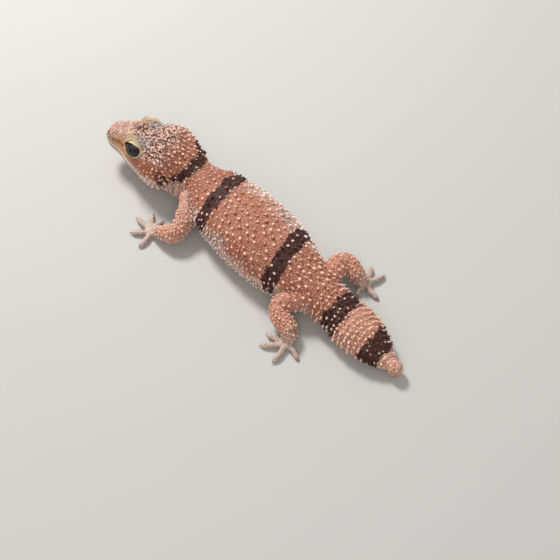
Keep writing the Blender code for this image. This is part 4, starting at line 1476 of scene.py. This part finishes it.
class GECKO_OT_eyes(bpy.types.Operator):
    """Makes the eyeballs and the lids round them"""

    bl_idname = "gecko.eyes"
    bl_label = "Eyes and lids"

    def execute(self, context):
        wet, lid_skin = eye_material(), lid_material()
        for name, sign in (("left", 1), ("right", -1)):
            centre, gaze, ahead, up = eye_frame(sign)
            rings = centre + EYE_RADIUS * (globe(EYE_RINGS, EYE_SIDES) @ np.array([ahead, up, gaze]))
            # The left eye's rings run the other way, so that its faces point out too.
            if sign > 0:
                rings = rings[:, ::-1]
            points, faces = loft(rings, centre + gaze * EYE_RADIUS, centre - gaze * EYE_RADIUS)
            local = (points - centre) / EYE_RADIUS
            across, rise = local @ ahead - PUPIL_AT[0], local @ up - PUPIL_AT[1]
            lean = (math.cos(PUPIL_LEAN), math.sin(PUPIL_LEAN))
            masks = {
                "across": across * lean[0] + rise * lean[1],
                "rise": rise * lean[0] - across * lean[1],
                "edge": smooth(0.5, 0.8, np.hypot(local @ ahead, local @ up)),
            }
            eye = dressed(mesh_object(f"eyeball_{name}", points, faces, masks), wet)
            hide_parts(f"eye_{name}")
            dressed(self.lids(name, sign), lid_skin)
        return {"FINISHED"}

    def lids(self, name, sign):
        """The ring of the lids, from just inside the eyeball to just under the skin."""
        centre, gaze, ahead, up = eye_frame(sign)
        tree = SKIN["before_eyes"]
        # Each row holds places, shares of the painted shade at the lids' edges and shares of the pale ring.
        rows = []
        for angle in np.linspace(0.0, 2 * math.pi, LID_SIDES, endpoint=False):
            opening, width = (float(v) for v in lid_shape(angle))
            out = ahead * math.cos(angle) + up * math.sin(angle)
            top = max(0.0, math.sin(angle))
            # A row starts just inside the eyeball and ends deeper, under the lid.
            inner = math.sqrt(EYE_RADIUS**2 - opening**2)
            row = [(centre + gaze * (inner - 0.12) + out * (opening + 0.03), 1.0, 0.0)]
            for share in np.linspace(0.0, 1.0, LID_ROWS):
                past = share * (width + LID_PAST)
                away = opening + past
                ball_rise = math.sqrt(max(EYE_RADIUS**2 - away**2, 1.0))
                start = centre + gaze * LID_RAY + out * away
                hit = tree.ray_cast(Vector(start), Vector(-gaze))
                skin_rise = LID_RAY - hit[3] if hit[0] is not None else ball_rise
                blend = float(max(smooth(0.3, 1.0, share), smooth(2.5, 3.1, away)))
                rise = (ball_rise + LID_OVER_EYE) * (1 - blend) + (skin_rise + LID_OVER_SKIN) * blend
                rise += RING_HIGH * math.exp(-(((past - RING_AT) / RING_WIDE) ** 2))
                rise += LID_FULL * top * math.sin(math.pi * min(past / width, 1.0))
                wrinkle = noise.noise(Vector(start) / LID_WRINKLE_SIZE)
                rise += LID_WRINKLE * top * math.sin(math.pi * share) * wrinkle
                if share == 1.0:
                    rise -= LID_SINKS
                # Painted shade: dark at the inner edge against the eyeball and at the outer edge where the
                # lid meets the skin.
                rim = max(0.0, 1 - share * 20) + 0.7 * float(smooth(width - 0.05, width + 0.2, past))
                ring = math.exp(-(((past - RING_AT) / 0.25) ** 2))
                row.append((centre + gaze * rise + out * away, rim, ring))
            row.append((centre + gaze * (inner - 0.6) + out * (opening + width * 0.5), 0.0, 0.0))
            rows += row
        steps = len(row)
        faces = []
        for i in range(LID_SIDES):
            n = (i + 1) % LID_SIDES
            for j in range(steps):
                k = (j + 1) % steps
                quad = (i * steps + j, n * steps + j, n * steps + k, i * steps + k)
                faces.append(quad if sign > 0 else quad[::-1])
        places, rims, rings = zip(*rows)
        masks = {"rim": np.array(rims), "ring": np.array(rings)}
        return mesh_object(f"lids_{name}", np.array(places), faces, masks)


class GECKO_OT_lips(bpy.types.Operator):
    """Makes the smooth plates along the upper and lower lip"""

    bl_idname = "gecko.lips"
    bl_label = "Lips"

    def execute(self, context):
        rng = np.random.default_rng(SEED + 2)
        places = []
        at = np.linspace(0.0, LIP_END, 400)
        half, _, level, _ = body_shape(at)
        for off in (LIP_OFF, -LIP_OFF):
            left = body_point(at, half, level + off)
            right = body_point(at, -half, level + off)
            path = np.concatenate([right[::-1], left[1:]])
            gone = np.append(0.0, np.cumsum(np.linalg.norm(np.diff(path, axis=0), axis=1)))
            for stop in np.arange(gone[-1] / 2 % LIP_STEP, gone[-1], LIP_STEP):
                places.append([np.interp(stop, gone, column) for column in path.T])
        here = Surface(*on_skin(places))
        here.lie = np.cross((0.0, 0.0, 1.0), here.normals)
        count = len(places)
        here.wide = LIP_OFF * 1.35 * rng.uniform(0.92, 1.06, count)
        here.long = LIP_STEP * rng.uniform(0.9, 0.98, count)
        here.high = np.full(count, 0.2)
        here.chance = rng.random(count)
        coat_piece("lip_plates", here, LIP_PLATE, gecko_skin_material("keratin_scales", True))
        SKIN["tubercles_lips"] = (here.points, here.long)
        return {"FINISHED"}


class GECKO_OT_claws(bpy.types.Operator):
    """Makes the small claws"""

    bl_idname = "gecko.claws"
    bl_label = "Claws"

    def execute(self, context):
        horn = claw_material()
        names = ("hand_left", "hand_right", "foot_left", "foot_right")
        for name, (joints, tips) in zip(names, LIMBS):
            parts, crests = [], []
            for tip in tips:
                palm = np.asarray(joints[3])
                end = digit_path(palm, tip, np.array([0.9, 0.97]))
                out = (end[1] - end[0]) * (1, 1, 0)
                out /= np.linalg.norm(out)
                share = np.linspace(0.0, 1.0, 9)
                path = end[1] + out * (share[:, None] * 1.1 - 0.35)
                path[:, 2] = 0.62 + 0.16 * np.sin(share * 2.2) - 0.46 * share**1.6
                size = 0.24 * (1 - share) ** 0.7 + 0.03
                points, faces = tube(path, size, 1.15, 10)
                parts.append((points, faces))
                crests.append(np.append(np.repeat(share, 10), (0.0, 1.0)))
            points, faces = joined(parts)
            made = mesh_object(f"claws_{name}", points, faces, {"crest": np.concatenate(crests)})
            dressed(made, horn)
        return {"FINISHED"}


class GECKO_OT_tubercles(bpy.types.Operator):
    """Makes the pointed tubercles of the back, flanks, neck, head, limbs and tail"""

    bl_idname = "gecko.tubercles"
    bl_label = "Tubercles"

    def execute(self, context):
        rng = np.random.default_rng(SEED)
        here = Surface(*sampled(TUBERCLE_TRIES, rng))
        here.apart, here.wide, here.long, here.high = tubercle_sizes(here)
        here = here.picked((here.wide > 0) & ~eye_region(here.points) & ~openings(here))
        here = here.picked(scattered(here.points, here.apart))
        tail = Surface(*on_skin(tail_rows(rng)))
        side = smooth(0.4, 1.0, np.abs(tail.side) / np.maximum(body_shape(tail.s)[0], 0.5))
        taper = 1 - 0.35 * smooth(104.0, 113.0, tail.s)
        tail.wide, tail.long = (1.2 + 0.15 * side) * taper, (1.3 + 0.1 * side) * taper
        tail.high = (0.75 + 0.5 * side) * taper
        for piece, part, kind in (("body", here, TUBERCLE), ("tail", tail, TAIL_SPINE)):
            count = len(part.points)
            part.wide = part.wide * rng.uniform(*SIZE_SPREAD, count)
            part.long = part.long * rng.uniform(*SIZE_SPREAD, count)
            part.high = part.high * rng.uniform(*SIZE_SPREAD, count)
            part.chance = rng.random(count)
            coat_piece(f"tubercles_{piece}", part, kind, bpy.data.materials["keratin_scales"])
            SKIN[f"tubercles_{piece}"] = (part.points, part.wide)
        return {"FINISHED"}


class GECKO_OT_granules(bpy.types.Operator):
    """Makes the fine granules that cover the skin between the tubercles"""

    bl_idname = "gecko.granules"
    bl_label = "Granules"

    def execute(self, context):
        sizes = context.scene.gecko_sizes
        rng = np.random.default_rng(SEED + 1)
        here = Surface(*sampled(GRANULE_TRIES, rng))
        larger = [SKIN[f"tubercles_{piece}"] for piece in ("body", "tail", "lips")]
        spots, widths = (np.concatenate(values) for values in zip(*larger))
        near = KDTree(len(spots))
        for number, spot in enumerate(spots.tolist()):
            near.insert(spot, number)
        near.balance()
        under = smooth(here.level - 1.0, here.level - 4.0, here.height) * (1 - here.limb)
        apart = sizes.granule_apart * (1 + 0.3 * under) * (1 - 0.2 * here.hand)
        crown = (1 - smooth(*CROWN_ENDS, here.s)) * smooth(here.level + 1.0, here.level + 4.0, here.height)
        # The knob's granules are the coarsest and the crown's the finest.
        knob = smooth(111.5, 113.0, here.s)
        apart = apart * (1 - 0.1 * crown * (1 - here.limb) + 0.45 * knob)
        here.apart = apart * rng.uniform(0.8, 1.25, len(apart))
        standing = here.points[:, 2] > GRANULE_FLOOR
        here = here.picked(~eye_region(here.points) & ~openings(here) & standing)
        here = here.picked(scattered(here.points, here.apart))
        found = [near.find(spot) for spot in here.points.tolist()]
        clear = [distance > GRANULE_CLEAR * widths[number] for _, number, distance in found]
        here = here.picked(np.array(clear))
        count = len(here.points)
        here.chance = rng.random(count)
        here.wide = here.apart * rng.uniform(1.15, 1.5, count)
        here.long = here.wide * 1.08
        head = (1 - smooth(*CROWN_ENDS, here.s)) * (1 - here.limb)
        here.high = sizes.granule_high * rng.uniform(0.7, 1.2, count) * (1 - 0.5 * here.hand + 0.4 * head)
        here.high = here.high * (1 - 0.4 * stretch(here.s, FLAT_THROAT))
        body = here.limb < 0.5
        parts = {name: body & (here.s >= start) & (here.s < end) for name, start, end in COAT_PIECES}
        parts["limbs"] = ~body
        finish = bpy.data.materials["keratin_scales"]
        for name, chosen in parts.items():
            coat_piece(f"granules_{name}", here.picked(chosen), GRANULE, finish)
        return {"FINISHED"}


class GECKO_OT_stage(bpy.types.Operator):
    """Makes the pale floor, the soft lights and the camera"""

    bl_idname = "gecko.stage"
    bl_label = "Stage"

    def execute(self, context):
        sizes = context.scene.gecko_sizes
        corners = [(x * FLOOR_HALF, y * FLOOR_HALF, 0.0) for x, y in ((-1, -1), (1, -1), (1, 1), (-1, 1))]
        floor = mesh_object("floor", corners, [(0, 1, 2, 3)])
        floor.data.materials.append(floor_material())
        target = Vector(TARGET)
        for name, size, away in LAMPS:
            lamp = bpy.data.lights.new(name, "AREA")
            lamp.energy, lamp.shape, lamp.size = getattr(sizes, f"{name}_power"), "DISK", size
            placed = bpy.data.objects.new(name, lamp)
            placed.location = target + Vector(away)
            placed.rotation_euler = (-Vector(away)).to_track_quat("-Z", "Y").to_euler()
            context.scene.collection.objects.link(placed)
        world = bpy.data.worlds.new("soft_room")
        world.use_nodes = True
        background = world.node_tree.nodes["Background"]
        background.inputs["Color"].default_value = (0.93, 0.96, 1.0, 1.0)
        background.inputs["Strength"].default_value = 0.45
        context.scene.world = world
        context.scene.view_settings.view_transform = "Standard"
        lens = bpy.data.cameras.new("camera")
        lens.lens, lens.sensor_width = sizes.lens, SENSOR
        lens.clip_start, lens.clip_end = 0.01, 10.0
        camera = bpy.data.objects.new("camera", lens)
        level = math.cos(CAMERA_ELEVATION)
        x, y = math.sin(CAMERA_AZIMUTH) * level, -math.cos(CAMERA_AZIMUTH) * level
        back = Vector((x, y, math.sin(CAMERA_ELEVATION)))
        camera.location = target + back * CAMERA_AWAY
        camera.rotation_euler = (-back).to_track_quat("-Z", "Y").to_euler()
        context.scene.collection.objects.link(camera)
        context.scene.camera = camera
        return {"FINISHED"}


class GECKO_PT_panel(bpy.types.Panel):
    """Lists the gecko's pieces and their settings"""

    bl_idname = "GECKO_PT_panel"
    bl_label = "Gecko"
    bl_space_type = "VIEW_3D"
    bl_region_type = "UI"
    bl_category = "Gecko"

    def draw(self, context):
        for made in OPERATORS:
            self.layout.operator(made.bl_idname)
        for group in (context.scene.gecko_sizes, context.scene.gecko_colours):
            for name in group.__annotations__:
                self.layout.prop(group, name)


OPERATORS = (
    GECKO_OT_skin,
    GECKO_OT_eyes,
    GECKO_OT_lips,
    GECKO_OT_claws,
    GECKO_OT_tubercles,
    GECKO_OT_granules,
    GECKO_OT_stage,
)
CLASSES = (GeckoSizes, GeckoColours, *OPERATORS, GECKO_PT_panel)


def register():
    """Makes the settings, the operators and the panel known to Blender."""
    for made in CLASSES:
        bpy.utils.register_class(made)
    bpy.types.Scene.gecko_sizes = bpy.props.PointerProperty(type=GeckoSizes)
    bpy.types.Scene.gecko_colours = bpy.props.PointerProperty(type=GeckoColours)


def unregister():
    """Takes out of Blender what register has added."""
    del bpy.types.Scene.gecko_colours
    del bpy.types.Scene.gecko_sizes
    for made in reversed(CLASSES):
        bpy.utils.unregister_class(made)


def main():
    """Makes every piece in order."""
    register()
    bpy.ops.gecko.skin()
    bpy.ops.gecko.eyes()
    bpy.ops.gecko.lips()
    bpy.ops.gecko.claws()
    bpy.ops.gecko.tubercles()
    bpy.ops.gecko.granules()
    bpy.ops.gecko.stage()


if __name__ == "__main__":
    main()
